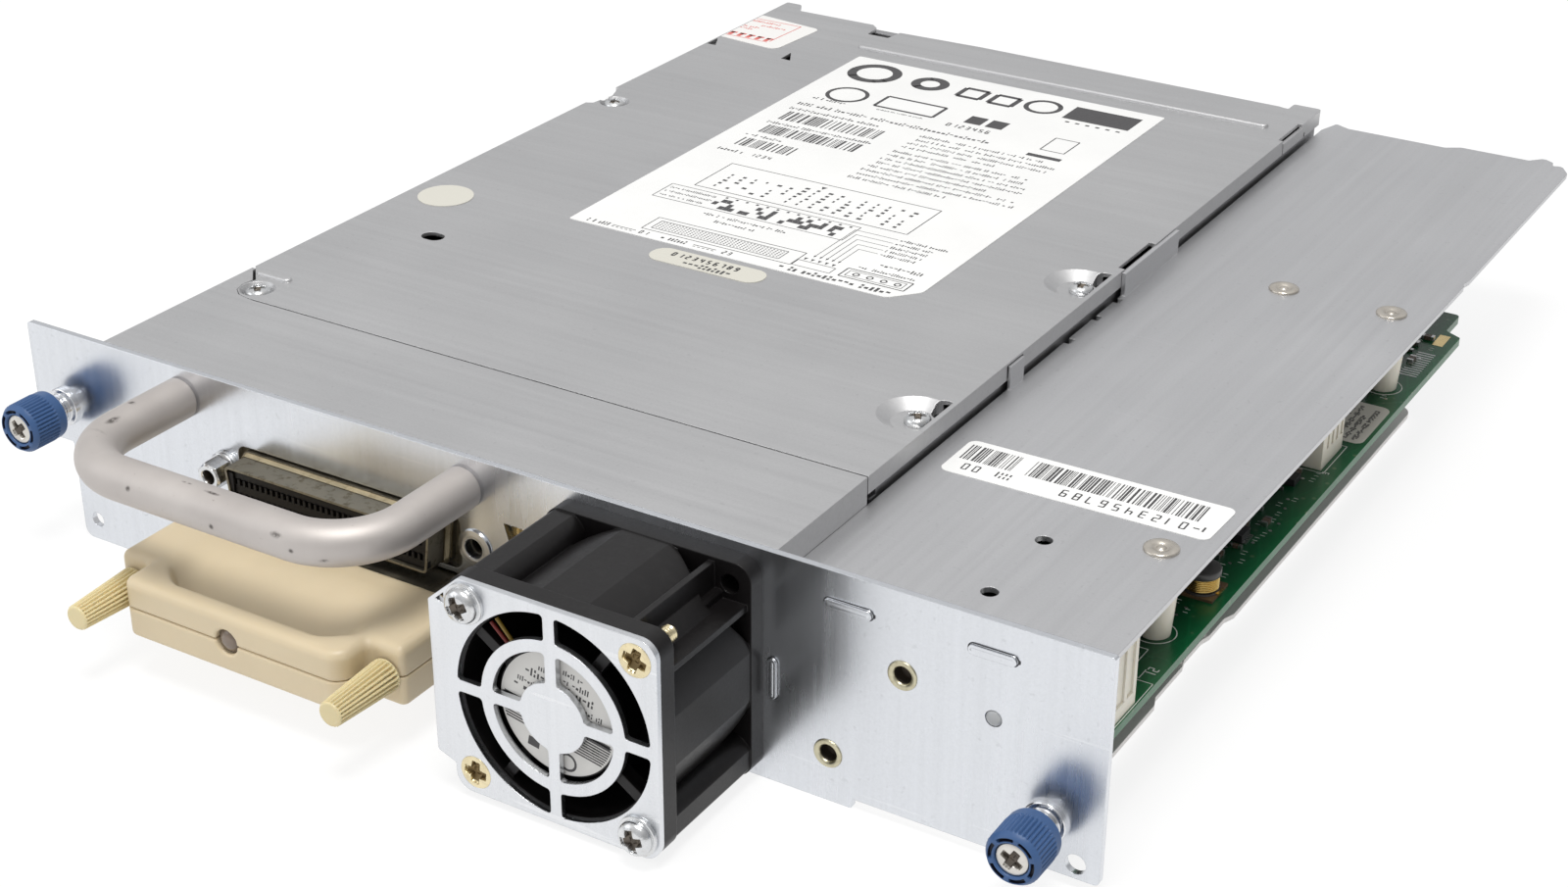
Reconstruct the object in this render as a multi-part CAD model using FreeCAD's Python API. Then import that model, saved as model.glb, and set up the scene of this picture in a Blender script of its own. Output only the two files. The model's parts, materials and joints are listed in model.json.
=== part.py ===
import FreeCAD, Part
import os
from math import sin, cos, acos, pi, radians, sqrt, tan
from FreeCAD import Vector as V

# ---------------------------------------------------------------- driving dimensions (mm)
# Working coordinates: x = 0 at the panel's right-hand edge, y = 0 at the panel's front face and
# growing into the module, z = 0 at the bottom edge of the panel's right-hand part.
PANEL_W = 223.4          # panel width over the left ear
PANEL_T = 1.2
PANEL_TOP = 41.5         # half-height opening
PANEL_DROP = -1.85       # lower edge of the left part of the panel
PANEL_STEP_X = -44.0
EAR_X = -215.2           # inner edge of the left ear
EAR_Z = 18.4
DRIVE_L, DRIVE_R = -204.9, -58.9     # 146 mm wide drive
DRIVE_FAR = 240.2
DRIVE_TOP = 41.5
SHEET = 0.8              # drive cover sheet
SEAM_Y = 29.8
SKIRT_Z = 38.1
SLED_T = 1.0
TRAY_TOP = 0.5
TRAY_R = -13.2
TRAY_FAR_R = 184.5
COVER_TOP = 36.25        # top of the bay cover
COVER_R_NEAR, COVER_R_FAR = -3.5, -2.5
COVER_FAR = 247.2
BOARD_TOP = 20.5
BOARD_T = 1.6
BOARD_L, BOARD_R = -56.0, -4.4
BOARD_NEAR, BOARD_FAR = 3.2, 192.0
HANDLE_X0, HANDLE_X1, HANDLE_Z = -185.1, -120.7, 35.7
HANDLE_R, HANDLE_Y, HANDLE_BEND = 3.95, -28.7, 13.0
KNOB_L, KNOB_R = (-216.1, 25.8), (-9.55, 8.9)     # captive screw axes (x, z)
KNOB_Y0, KNOB_Y1 = -12.1, -3.9
KNOB_TRAVEL = 2.5
SCREW_R = 2.0
FAN_C = (-80.9, 19.75)
FAN_W = 40.0
FAN_FRONT = -29.2
FAN_HOLE = 16.0          # half of the 32 mm hole spacing
GUARD_T = 1.1
CONN_UP, CONN_LOW = (-147.3, 24.2), (-146.9, 12.6)     # centres (x, z) of the two 68-way sockets
CONN_W, CONN_H = 46.4, 8.4
JACK = 28.25             # half of the jack spacing
TERM_X = -146.9
TERM_Z0, TERM_Z1, TERM_ZM = 6.9, 18.3, 12.6
TERM_FRONT, TERM_SHOULDER, TERM_BACK = -32.3, -25.2, -6.6
TERM_HALF, TERM_SHALF = 24.5, 31.6
LENS_DX, LENS_Z = -0.9, 12.7      # indicator lens beside the middle of the front face
TERM_TRAVEL = 15.0
REEL_X = -131.9
REEL_Y, REEL_R = 78.0, 41.0
HUB_Y = 188.0
TRAY_TRAVEL = 10.0
ORIGIN = (-PANEL_W / 2.0, 105.15, PANEL_DROP)       # row origin in working coordinates

# ---------------------------------------------------------------- helpers
def box(x0, x1, y0, y1, z0, z1):
    return Part.makeBox(x1 - x0, y1 - y0, z1 - z0, V(x0, y0, z0))

def cyly(x, z, y0, y1, r):
    return Part.makeCylinder(r, y1 - y0, V(x, y0, z), V(0, 1, 0))

def cylz(x, y, z0, z1, r):
    return Part.makeCylinder(r, z1 - z0, V(x, y, z0), V(0, 0, 1))

def cylx(y, z, x0, x1, r):
    return Part.makeCylinder(r, x1 - x0, V(x0, y, z), V(1, 0, 0))

def coney(x, z, y0, y1, r0, r1):
    return Part.makeCone(r0, r1, y1 - y0, V(x, y0, z), V(0, 1, 0))

def conez(x, y, z0, z1, r0, r1):
    return Part.makeCone(r0, r1, z1 - z0, V(x, y, z0), V(0, 0, 1))

def poly_z(pts, z0, z1):
    w = Part.makePolygon([V(x, y, z0) for x, y in pts] + [V(pts[0][0], pts[0][1], z0)])
    return Part.Face(w).extrude(V(0, 0, z1 - z0))

def poly_y(pts, y0, y1):
    w = Part.makePolygon([V(x, y0, z) for x, z in pts] + [V(pts[0][0], y0, pts[0][1])])
    return Part.Face(w).extrude(V(0, y1 - y0, 0))

def poly_x(pts, x0, x1):
    w = Part.makePolygon([V(x0, y, z) for y, z in pts] + [V(x0, pts[0][0], pts[0][1])])
    return Part.Face(w).extrude(V(x1 - x0, 0, 0))

def rounded(pts, radii):
    # closed outline of straight lines and corner arcs; pts are (a, b) pairs, one radius per corner
    n = len(pts)
    out = []
    for i in range(n):
        p0, p1, p2 = pts[i - 1], pts[i], pts[(i + 1) % n]
        r = radii[i] if isinstance(radii, (list, tuple)) else radii
        if r <= 0:
            out.append((p1, None, p1))
            continue
        a = (p0[0] - p1[0], p0[1] - p1[1]); b = (p2[0] - p1[0], p2[1] - p1[1])
        la, lb = sqrt(a[0] ** 2 + a[1] ** 2), sqrt(b[0] ** 2 + b[1] ** 2)
        a = (a[0] / la, a[1] / la); b = (b[0] / lb, b[1] / lb)
        cosang = max(-1, min(1, a[0] * b[0] + a[1] * b[1]))
        half = 0.5 * acos(cosang)
        t = r / tan(half)
        m = (a[0] + b[0], a[1] + b[1]); lm = sqrt(m[0] ** 2 + m[1] ** 2)
        m = (m[0] / lm, m[1] / lm)
        c = (p1[0] + m[0] * r / sin(half), p1[1] + m[1] * r / sin(half))
        s = (p1[0] + a[0] * t, p1[1] + a[1] * t); e = (p1[0] + b[0] * t, p1[1] + b[1] * t)
        mid = (c[0] - m[0] * r, c[1] - m[1] * r)
        out.append((s, mid, e))
    return out

def outline(pts, radii, to3):
    segs = rounded(pts, radii)
    edges = []
    n = len(segs)
    for i in range(n):
        s, mid, e = segs[i]
        if mid is not None:
            edges.append(Part.Arc(to3(s), to3(mid), to3(e)).toShape())
        nxt = segs[(i + 1) % n][0]
        if (to3(e) - to3(nxt)).Length > 1e-6:
            edges.append(Part.LineSegment(to3(e), to3(nxt)).toShape())
    return Part.Wire(Part.__sortEdges__(edges))

def plate_z(pts, radii, z0, z1):
    return Part.Face(outline(pts, radii, lambda p: V(p[0], p[1], z0))).extrude(V(0, 0, z1 - z0))

def plate_y(pts, radii, y0, y1):
    return Part.Face(outline(pts, radii, lambda p: V(p[0], y0, p[1]))).extrude(V(0, y1 - y0, 0))

def plate_x(pts, radii, x0, x1):
    return Part.Face(outline(pts, radii, lambda p: V(x0, p[0], p[1]))).extrude(V(x1 - x0, 0, 0))

def rect(a0, a1, b0, b1):
    return [(a0, b0), (a1, b0), (a1, b1), (a0, b1)]

def fuse(*items):
    items = [i for i in items if i is not None]
    s = items[0]
    if len(items) > 1:
        s = s.multiFuse(list(items[1:]))
    return s.removeSplitter()

def cut(s, *tools):
    tools = [t for t in tools if t is not None]
    if not tools:
        return s
    return s.cut(list(tools)) if len(tools) > 1 else s.cut(tools[0])

def fillet(s, r, pick):
    es = [e for e in s.Edges if pick(e)]
    if not es:
        return s
    try:
        f = s.makeFillet(r, es)
        if f.isValid() and len(f.Solids) == len(s.Solids):
            return f
    except Exception:
        pass
    return s

def chamfer(s, r, pick):
    es = [e for e in s.Edges if pick(e)]
    if not es:
        return s
    try:
        f = s.makeChamfer(r, es)
        if f.isValid():
            return f
    except Exception:
        pass
    return s

def edge_dir(e):
    a, b = e.Vertexes[0].Point, e.Vertexes[-1].Point
    d = b - a
    return d.normalize() if d.Length > 1e-9 else V(0, 0, 0)

def group(items):
    return Part.makeCompound(items)

def hexy(x, z, y0, y1, af):
    r = af / sqrt(3)
    return poly_y([(x + r * cos(radians(60 * k)), z + r * sin(radians(60 * k))) for k in range(6)], y0, y1)

def hexz(x, y, z0, z1, af):
    r = af / sqrt(3)
    return poly_z([(x + r * cos(radians(60 * k)), y + r * sin(radians(60 * k))) for k in range(6)], z0, z1)

def slot_y(x0, x1, z, r, y0, y1):
    return fuse(box(x0 + r, x1 - r, y0, y1, z - r, z + r), cyly(x0 + r, z, y0, y1, r), cyly(x1 - r, z, y0, y1, r))

def vslot_y(x, z0, z1, r, y0, y1):
    return fuse(box(x - r, x + r, y0, y1, z0 + r, z1 - r), cyly(x, z0 + r, y0, y1, r), cyly(x, z1 - r, y0, y1, r))

def cross_y(x, z, y0, y1, w, t, turn=0.0):
    a = box(-w, w, 0, y1 - y0, -t, t)
    b = box(-t, t, 0, y1 - y0, -w, w)
    s = a.fuse(b)
    s.rotate(V(0, 0, 0), V(0, 1, 0), turn)
    s.translate(V(x, y0, z))
    return s

def cross_z(x, y, z0, z1, w, t, turn=0.0):
    a = box(-w, w, -t, t, 0, z1 - z0)
    b = box(-t, t, -w, w, 0, z1 - z0)
    s = a.fuse(b)
    s.rotate(V(0, 0, 0), V(0, 0, 1), turn)
    s.translate(V(x, y, z0))
    return s

NODES = {}

def node(name, shape):
    NODES[name] = shape

# ---------------------------------------------------------------- sled: faceplate
FX, FZ = FAN_C
pts = [(0, 0), (0, PANEL_TOP), (-PANEL_W, PANEL_TOP), (-PANEL_W, EAR_Z), (EAR_X, EAR_Z), (EAR_X, PANEL_DROP),
       (PANEL_STEP_X, PANEL_DROP), (PANEL_STEP_X, 0)]
face = plate_y(pts, [1.0, 0.6, 0.6, 0.8, 0.5, 2.0, 0.4, 0.4], 0, PANEL_T)
EMB = 0.55     # height of the pressed bars and rings on the panel
bars = [slot_y(-49.6, -40.9, 35.6, 0.85, -EMB, 0.1), slot_y(-24.1, -15.8, 35.6, 0.85, -EMB, 0.1),
        vslot_y(-59.1, 14.3, 21.9, 0.85, -EMB, 0.1), cyly(CONN_UP[0] + JACK, CONN_UP[1], -0.45, 0.1, 3.5), cyly(-198.4, 8.5, -0.25, 0.1, 0.95)]
face = fuse(face, *bars)
def socket_cut(c):
    return plate_y(rect(c[0] - 25.2, c[0] + 25.2, c[1] - 5.3, c[1] + 5.3), 1.8, -1, PANEL_T + 1)
CLINCH = [(-35.4, 26.6), (-48.6, 7.3)]
LIGHT = (-19.4, 24.2)
tools = [socket_cut(CONN_UP), socket_cut(CONN_LOW), cyly(FX, FZ, -1, 3, 18.6)]
for sx in (-1, 1):
    for sz in (-1, 1):
        tools.append(cyly(FX + sx * FAN_HOLE, FZ + sz * FAN_HOLE, -1, 3, 1.75))
tools += [poly_y([(-112.6, 30.9), (-106.2, 30.9), (-106.8, 27.4), (-111.6, 27.4)], -1, 3)]
tools += [cyly(-4.2, 2.7, -1, 3, 1.8), cyly(-211.5, 2.5, -1, 3, 1.5), cyly(LIGHT[0], LIGHT[1], -1, 3, 1.45)]
tools += [cyly(x, z, -1, 3, 2.6) for x, z in CLINCH]
tools += [cyly(HANDLE_X0, HANDLE_Z, -1, 3, 2.15), cyly(HANDLE_X1, HANDLE_Z, -1, 3, 2.15)]
tools += [cyly(KNOB_L[0], KNOB_L[1], -1, 3, 2.75), cyly(KNOB_R[0], KNOB_R[1], -1, 3, 2.75)]
tools += [cyly(CONN_UP[0] - JACK, CONN_UP[1], -1, 3, 1.7), cyly(CONN_UP[0] + JACK, CONN_UP[1], -1, 3, 1.9)]
tools += [cyly(CONN_LOW[0] - JACK, CONN_LOW[1], -1, 3, 1.7), cyly(CONN_LOW[0] + JACK, CONN_LOW[1], -1, 3, 1.7)]
node("faceplate", cut(face, *tools))

# ---------------------------------------------------------------- sled: tray floor with side rail, front flanges and runners
pts = [(-206.9, PANEL_T), (TRAY_R, PANEL_T), (TRAY_R, 50.5), (TRAY_R - 0.9, 53.0), (TRAY_R - 0.9, 64.6), (TRAY_R - 1.5, 66.8),
       (TRAY_R - 1.5, 74.4), (TRAY_R - 0.9, 76.6), (TRAY_R - 0.9, 83.5), (TRAY_R, 86.0), (TRAY_R, TRAY_FAR_R),
       (-57.0, TRAY_FAR_R), (-57.0, 240.0), (-206.9, 240.0)]
floor = plate_z(pts, [0, 0, 0.6, 0.6, 0.5, 0.5, 0.5, 0.5, 0.6, 0.6, 3.5, 1.5, 3, 0], TRAY_TOP - SLED_T, TRAY_TOP)
rail = box(-206.9, -205.9, PANEL_T, 236, TRAY_TOP - 0.2, 15.0)
fl1 = box(-200, -103, PANEL_T, PANEL_T + 1.0, TRAY_TOP - 0.2, 5.6)
fl2 = box(-56, TRAY_R - 1.5, PANEL_T, PANEL_T + 1.0, TRAY_TOP - 0.2, 3.4)
tabs = [box(-16.6, -14.72, 64.9, 65.9, TRAY_TOP - 0.2, 2.1), box(-16.6, -14.72, 75.6, 76.6, TRAY_TOP - 0.2, 2.1)]
ribs = []
for x in (-180.0, -86.0):
    ribs.append(fillet(box(x - 5, x + 5, 18, 232, PANEL_DROP, TRAY_TOP - SLED_T + 0.1), 0.6, lambda e: abs(e.BoundBox.ZMax - PANEL_DROP) < 1e-4))
rib_r = box(-40, -32, 18, 170, PANEL_DROP, TRAY_TOP - SLED_T + 0.1)
floor = fuse(floor, rail, fl1, fl2, *(tabs + ribs + [rib_r]))
grooves = [box(x - 3.9, x + 3.9, 19.2, 230.8, PANEL_DROP + 0.95, TRAY_TOP + 1) for x in (-180.0, -86.0)]
grooves.append(box(-38.9, -33.1, 19.2, 168.8, PANEL_DROP + 0.95, TRAY_TOP + 1))
DRIVE_HOLES = [(DRIVE_L + 3.4 + 139.2 * i, y) for i in (0, 1) for y in (52.0, 131.4)]
grooves += [cylz(x, y, -3, 2, 1.7) for x, y in DRIVE_HOLES]
node("tray_floor", cut(floor, *grooves))

# ---------------------------------------------------------------- sled: bay cover (wall and top plate in one fold)
W0, W1 = -58.85, -57.85
cov = plate_z([(W0, 1.3), (COVER_R_NEAR, 1.3), (COVER_R_FAR, 171.0), (COVER_R_FAR - 0.5, 172.2), (COVER_R_FAR, 174.5), (COVER_R_FAR, 243.6),
               (-4.9, 247.7), (-6.6, 246.6), (-7.2, 248.8), (-9.6, COVER_FAR + 3.0), (-12.2, COVER_FAR + 0.1), (-27.7, COVER_FAR), (-30.9, COVER_FAR - 2.0),
               (-53.8, COVER_FAR - 2.0), (-57.2, COVER_FAR - 0.4), (W0, 241.3)],
              [0.8, 2.5, 0.4, 0.4, 0.4, 1.6, 1.2, 0.4, 0.9, 1.2, 0.8, 1.2, 1.2, 1.0, 0.4, 0.5], COVER_TOP - SLED_T, COVER_TOP)
wall = box(W0, W1, 2.2, 240.0, TRAY_TOP + 0.0, COVER_TOP - 0.4)
foot = [box(W1 - 0.1, -50.0, y0, y1, TRAY_TOP, TRAY_TOP + SLED_T) for y0, y1 in ((6, 40), (70, 110), (140, 178))]
shelf = [box(W1 - 0.1, -50.5, y0, y0 + 9, BOARD_TOP - BOARD_T - SLED_T, BOARD_TOP - BOARD_T) for y0 in (20, 92, 164)]
tab = box(-58.85, -57.95, 130.6, 156.6, COVER_TOP - 1.2, 41.2)
hook = box(-58.85, -58.25, 81.2, 86.6, COVER_TOP - 1.2, 40.9)
cov = fuse(cov, wall, tab, hook, *(foot + shelf))
cov = cut(cov, cylz(-28.45, 34.5, 30, 40, 1.5), cylz(-28.45, 15.2, 30, 40, 1.5),
          cylz(-11.0, 42.0, 30, 40, 1.3), cylz(-10.4, 150.8, 30, 40, 1.3), cylz(-32.6, 150.8, 30, 40, 1.3),
          box(-60, -57.6, 104.8, 107.2, 35.0, 36.9), box(-60, -57.6, 117.3, 119.4, 35.0, 36.9), box(-60, -57.6, 127.0, 129.2, 35.0, 36.9),
          *[cylz(-53.2, y0 + 4.5, 15, 22, 1.3) for y0 in (20, 92, 164)])
node("bay_cover", cov)

# dished rivet heads on the bay cover
RIV = [(-11.0, 42.0), (-32.6, 150.8), (-10.4, 150.8)]
rv = []
for i, (x, y) in enumerate(RIV):
    h = fuse(cylz(x, y, COVER_TOP, COVER_TOP + 0.35, 3.0), conez(x, y, COVER_TOP + 0.35, COVER_TOP + 0.6, 3.0, 2.6), cylz(x, y, COVER_TOP - 2.4 if i != 1 else COVER_TOP - 1.6, COVER_TOP + 0.1, 1.3))
    if i == 1:
        h = fuse(h, cylz(x, y, COVER_TOP - 1.9, COVER_TOP - SLED_T, 2.0))
    h = cut(h, conez(x, y, COVER_TOP + 0.05, COVER_TOP + 0.7, 1.0, 2.0))
    rv.append(fuse(h, cylz(x, y, COVER_TOP - 0.1, COVER_TOP + 0.35, 0.55)))
node("bay_cover_rivets", group(rv))

# nylon standoffs between the bay cover and the board
st = []
for x, y in (RIV[0], RIV[2]):
    s = fuse(conez(x, y, BOARD_TOP, BOARD_TOP + 9.5, 2.7, 3.4), cylz(x, y, BOARD_TOP + 9.5, COVER_TOP - SLED_T, 3.4),
             cylz(x, y, BOARD_TOP - 2.6, BOARD_TOP, 1.5), conez(x, y, BOARD_TOP - 4.2, BOARD_TOP - BOARD_T, 0.9, 2.1))
    st.append(cut(s, cylz(x, y, COVER_TOP - SLED_T - 4, COVER_TOP, 1.32)))
node("pcb_standoffs", group(st))

# ---------------------------------------------------------------- interface board and its parts
bp = plate_z([(BOARD_L, BOARD_NEAR), (BOARD_R, BOARD_NEAR), (BOARD_R, 181.0), (-8.0, 183.0), (-8.0, BOARD_FAR), (BOARD_L, BOARD_FAR)],
             [1.0, 0.8, 0.8, 0.8, 1.0, 1.0], BOARD_TOP - BOARD_T, BOARD_TOP)
bp = cut(bp, *([cylz(x, y, 15, 25, 1.5) for x, y in (RIV[0], RIV[2])] + [cylz(-53.2, y0 + 4.5, 15, 25, 1.3) for y0 in (20, 92, 164)]))
node("interface_board", bp)

def chip(x, y, w, l, h):
    return box(x - w / 2, x + w / 2, y - l / 2, y + l / 2, BOARD_TOP, BOARD_TOP + h)
chips = [chip(-33, 70, 20, 20, 1.6), chip(-30, 104, 14, 18, 1.4), chip(-40, 134, 10, 14, 1.2), chip(-22, 134, 9, 6, 1.6),
         chip(-30, 172, 12, 12, 1.4), chip(-19.5, 60, 5, 4, 1.2), chip(-16, 96, 5, 4, 1.2), chip(-12.5, 79, 5, 4, 1.5), chip(-41, 40, 8, 6, 1.4),
         chip(-13, 31.5, 4.2, 6.8, 1.6), chip(-12.0, 103.5, 4.2, 3.4, 1.3),
         cylz(-46, 66, BOARD_TOP, BOARD_TOP + 8, 3.0), cylz(-46, 58, BOARD_TOP, BOARD_TOP + 8, 3.0), cylz(-46, 176, BOARD_TOP, BOARD_TOP + 10, 4.0)]
node("board_chips", group(chips))
ind = fuse(box(-13.4, -6.4, 55.2, 62.2, BOARD_TOP, BOARD_TOP + 0.8), cylz(-9.9, 58.7, BOARD_TOP + 0.7, BOARD_TOP + 3.3, 2.3),
           cylz(-9.9, 58.7, BOARD_TOP + 3.2, BOARD_TOP + 4.6, 3.3))
coil = cut(cylz(-9.9, 58.7, BOARD_TOP + 0.9, BOARD_TOP + 3.1, 3.1), cylz(-9.9, 58.7, BOARD_TOP, BOARD_TOP + 4, 2.3))
node("inductor", group([ind, coil]))
# tall white connector at the front corner and a four-way white header
cf = box(-10.6, -4.9, 3.6, 26.4, BOARD_TOP, 34.9)
cf = cut(cf, box(-9.6, -6.2, 4.8, 25.2, 24.0, 36.0), *[box(-5.2, -4.5, 5.0 + 4.4 * k, 7.4 + 4.4 * k, 22.6, 33.2) for k in range(5)])
node("connector_front", cf)
cm = box(-13.6, -8.0, 110.4, 121.4, BOARD_TOP, BOARD_TOP + 3.4)
cm = fuse(cm, box(-13.6, -12.6, 110.4, 121.4, BOARD_TOP + 3.3, BOARD_TOP + 9.6), box(-9.0, -8.0, 110.4, 121.4, BOARD_TOP + 3.3, BOARD_TOP + 9.6),
          box(-13.6, -8.0, 110.4, 111.3, BOARD_TOP + 3.3, BOARD_TOP + 9.6), box(-13.6, -8.0, 120.5, 121.4, BOARD_TOP + 3.3, BOARD_TOP + 9.6))
cm = cut(cm, *[box(-9.5, -7.5, 112.6 + 2.35 * k, 113.6 + 2.35 * k, BOARD_TOP + 3.4, BOARD_TOP + 10) for k in range(4)])
cm = fuse(cm, *[box(-11.2, -10.5, 112.7 + 2.35 * k, 113.4 + 2.35 * k, BOARD_TOP + 3.3, BOARD_TOP + 8.4) for k in range(4)])
node("connector_mid", cm)

# ---------------------------------------------------------------- bail handle and its screws
b = HANDLE_BEND
k = b * (1 - cos(radians(45)))
hp = [Part.LineSegment(V(HANDLE_X0, 0, HANDLE_Z), V(HANDLE_X0, HANDLE_Y + b, HANDLE_Z)).toShape(),
      Part.Arc(V(HANDLE_X0, HANDLE_Y + b, HANDLE_Z), V(HANDLE_X0 + k, HANDLE_Y + k, HANDLE_Z), V(HANDLE_X0 + b, HANDLE_Y, HANDLE_Z)).toShape(),
      Part.LineSegment(V(HANDLE_X0 + b, HANDLE_Y, HANDLE_Z), V(HANDLE_X1 - b, HANDLE_Y, HANDLE_Z)).toShape(),
      Part.Arc(V(HANDLE_X1 - b, HANDLE_Y, HANDLE_Z), V(HANDLE_X1 - k, HANDLE_Y + k, HANDLE_Z), V(HANDLE_X1, HANDLE_Y + b, HANDLE_Z)).toShape(),
      Part.LineSegment(V(HANDLE_X1, HANDLE_Y + b, HANDLE_Z), V(HANDLE_X1, 0, HANDLE_Z)).toShape()]
path = Part.Wire(hp)
prof = Part.Wire([Part.Circle(V(HANDLE_X0, 0, HANDLE_Z), V(0, 1, 0), HANDLE_R).toShape()])
han = path.makePipeShell([prof], True, False)
han = cut(han, cyly(HANDLE_X0, HANDLE_Z, -9.0, 1, 1.65), cyly(HANDLE_X1, HANDLE_Z, -9.0, 1, 1.65))
for x in (HANDLE_X0, HANDLE_X1):     # small bevel where each leg stands on the panel
    han = cut(han, cut(cyly(x, HANDLE_Z, -0.5, 0.2, HANDLE_R + 1.0), coney(x, HANDLE_Z, -0.51, 0.2, HANDLE_R + 0.01, HANDLE_R - 0.6)))
node("handle", han)
hs = []
for x in (HANDLE_X0, HANDLE_X1):
    s = fuse(cyly(x, HANDLE_Z, -7.5, PANEL_T + 0.2, 1.65), cyly(x, HANDLE_Z, PANEL_T, PANEL_T + 2.4, 3.6))
    hs.append(cut(s, cross_y(x, HANDLE_Z, PANEL_T + 1.0, PANEL_T + 3, 1.7, 0.45)))
node("handle_screws", group(hs))

# ---------------------------------------------------------------- clinch nuts and light pipe
cn = []
for x, z in CLINCH:
    s = fuse(cyly(x, z, -0.25, PANEL_T + 1.8, 2.6), cyly(x, z, PANEL_T, PANEL_T + 1.8, 3.4))
    cn.append(cut(s, cyly(x, z, -1, 5, 1.5)))
node("clinch_nuts", group(cn))
node("light_pipe", fuse(cyly(LIGHT[0], LIGHT[1], -0.15, PANEL_T + 6.0, 1.45), cyly(LIGHT[0], LIGHT[1], PANEL_T, PANEL_T + 1.0, 2.2)))

# ---------------------------------------------------------------- captive thumbscrews
fr = []
for side, (x, z) in (("left", KNOB_L), ("right", KNOB_R)):
    y0, y1 = KNOB_Y0, KNOB_Y1
    kn = fuse(cyly(x, z, y0 + 0.9, y1, 4.75), coney(x, z, y0, y0 + 0.9, 4.1, 4.6))
    kn = cut(kn, cyly(x, z, y0 - 1, y0 + 2.1, 2.85), cyly(x, z, y0, y1, 1.78), cyly(x, z, y0 + 2.6, y1 + 1, 2.95))
    node("knob_" + side, kn)
    sc = fuse(cyly(x, z, y0 + 0.35, y0 + 2.1, 2.84), cyly(x, z, y0 + 2.0, 1.6, 1.75), cyly(x, z, 0.4, 1.55, SCREW_R),
              cyly(x, z, 2.75, 7.6, SCREW_R), coney(x, z, 7.6, 9.2, SCREW_R, 1.1), cyly(x, z, 1.4, 3.0, 1.5))
    sc = cut(sc, cross_y(x, z, y0 - 1, y0 + 1.35, 1.75, 0.36, 12.0))
    node("captive_screw_" + side, sc)
    cl = cut(cyly(x, z, 1.95, 2.45, 3.4), cyly(x, z, 1, 4, 1.55))
    node("captive_clip_" + side, cl)
    f = fuse(cyly(x, z, y1 + 0.25, PANEL_T + 0.55, 2.75), cyly(x, z, -1.0, 0.0, 3.75))
    fr.append(cut(f, cyly(x, z, -20, 5, SCREW_R + 0.08)))
node("captive_ferrules", group(fr))

# ---------------------------------------------------------------- fan
def fan_sq(y0, y1, r=3.2):
    h = FAN_W / 2
    return plate_y(rect(FX - h, FX + h, FZ - h, FZ + h), r, y0, y1)
FL = 3.6                 # flange thickness
fan = fuse(fan_sq(FAN_FRONT, FAN_FRONT + FL), fan_sq(-FL, 0.0))
# round duct, flattened where it is flush with the flanges
HW = 19.85
waist = cyly(FX, FZ, FAN_FRONT + FL - 0.2, -FL + 0.2, 20.35).common(box(FX - HW, FX + HW, -30, 0, FZ - HW, FZ + HW))
# slanted ends of the duct wall by the rear flange, at every corner
for k in range(4):
    for sg in (-1, 1):
        w = poly_z([(sg * 6.0, -FL), (sg * 15.5, -9.6), (sg * 21.0, -9.6), (sg * 21.0, -FL)], 14.6, 21)
        w.rotate(V(0, 0, 0), V(0, 1, 0), 90 * k)
        w.translate(V(FX, 0, FZ))
        waist = waist.cut(w)
LONG = [(-1, 1), (1, -1)]        # corners whose screws run through to the panel
SHORT = [(1, 1), (-1, -1)]       # corners with a short screw in the front flange only
sq = box(FX - 19.7, FX + 19.7, -30, 0, FZ - 19.7, FZ + 19.7)
posts = [cyly(FX + sx * FAN_HOLE, FZ + sz * FAN_HOLE, FAN_FRONT + FL - 0.2, -FL + 0.2, 4.1).common(sq) for sx, sz in LONG]
webs = []
for sx, sz in SHORT:
    webs.append(box(min(FX + sx * 11.9, FX + sx * 13.1), max(FX + sx * 11.9, FX + sx * 13.1), FAN_FRONT + FL - 0.2, -FL + 0.2,
                    min(FZ + sz * 14.4, FZ + sz * 19.2), max(FZ + sz * 14.4, FZ + sz * 19.2)))
    webs.append(box(min(FX + sx * 14.4, FX + sx * 19.2), max(FX + sx * 14.4, FX + sx * 19.2), FAN_FRONT + FL - 0.2, -FL + 0.2,
                    min(FZ + sz * 11.9, FZ + sz * 13.1), max(FZ + sz * 11.9, FZ + sz * 13.1)))
fan = fuse(fan, waist, *(posts + webs))
fan = cut(fan, cyly(FX, FZ, -40, 5, 18.3), *[cyly(FX + sx * FAN_HOLE, FZ + sz * FAN_HOLE, -40, 5, 1.72) for sx in (-1, 1) for sz in (-1, 1)])
hub = [cyly(FX, FZ, FAN_FRONT + 0.5, FAN_FRONT + 3.4, 11.3), cyly(FX, FZ, FAN_FRONT + 3.2, -9.5, 3.1)]
struts = []
for a in (35, 125, 215, 305):
    s = box(10.5, 18.8, 0, 2.6, -1.0, 1.0)
    s.rotate(V(0, 0, 0), V(0, 1, 0), a)
    s.translate(V(FX, FAN_FRONT + 0.6, FZ))
    struts.append(s)
fan = fuse(fan, *(hub + struts))
fan = cut(fan, cyly(FX, FZ, FAN_FRONT + 2.4, 0, 1.3))
node("fan_frame", fan)
node("fan_label", cyly(FX, FZ, FAN_FRONT + 0.35, FAN_FRONT + 0.5, 11.0))
rot = cut(cyly(FX, FZ, FAN_FRONT + 4.0, -4.2, 10.6), cyly(FX, FZ, FAN_FRONT + 3.0, -5.4, 9.6))
rot = fuse(rot, cyly(FX, FZ, FAN_FRONT + 2.6, -4.8, 1.22))
blades = []
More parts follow.
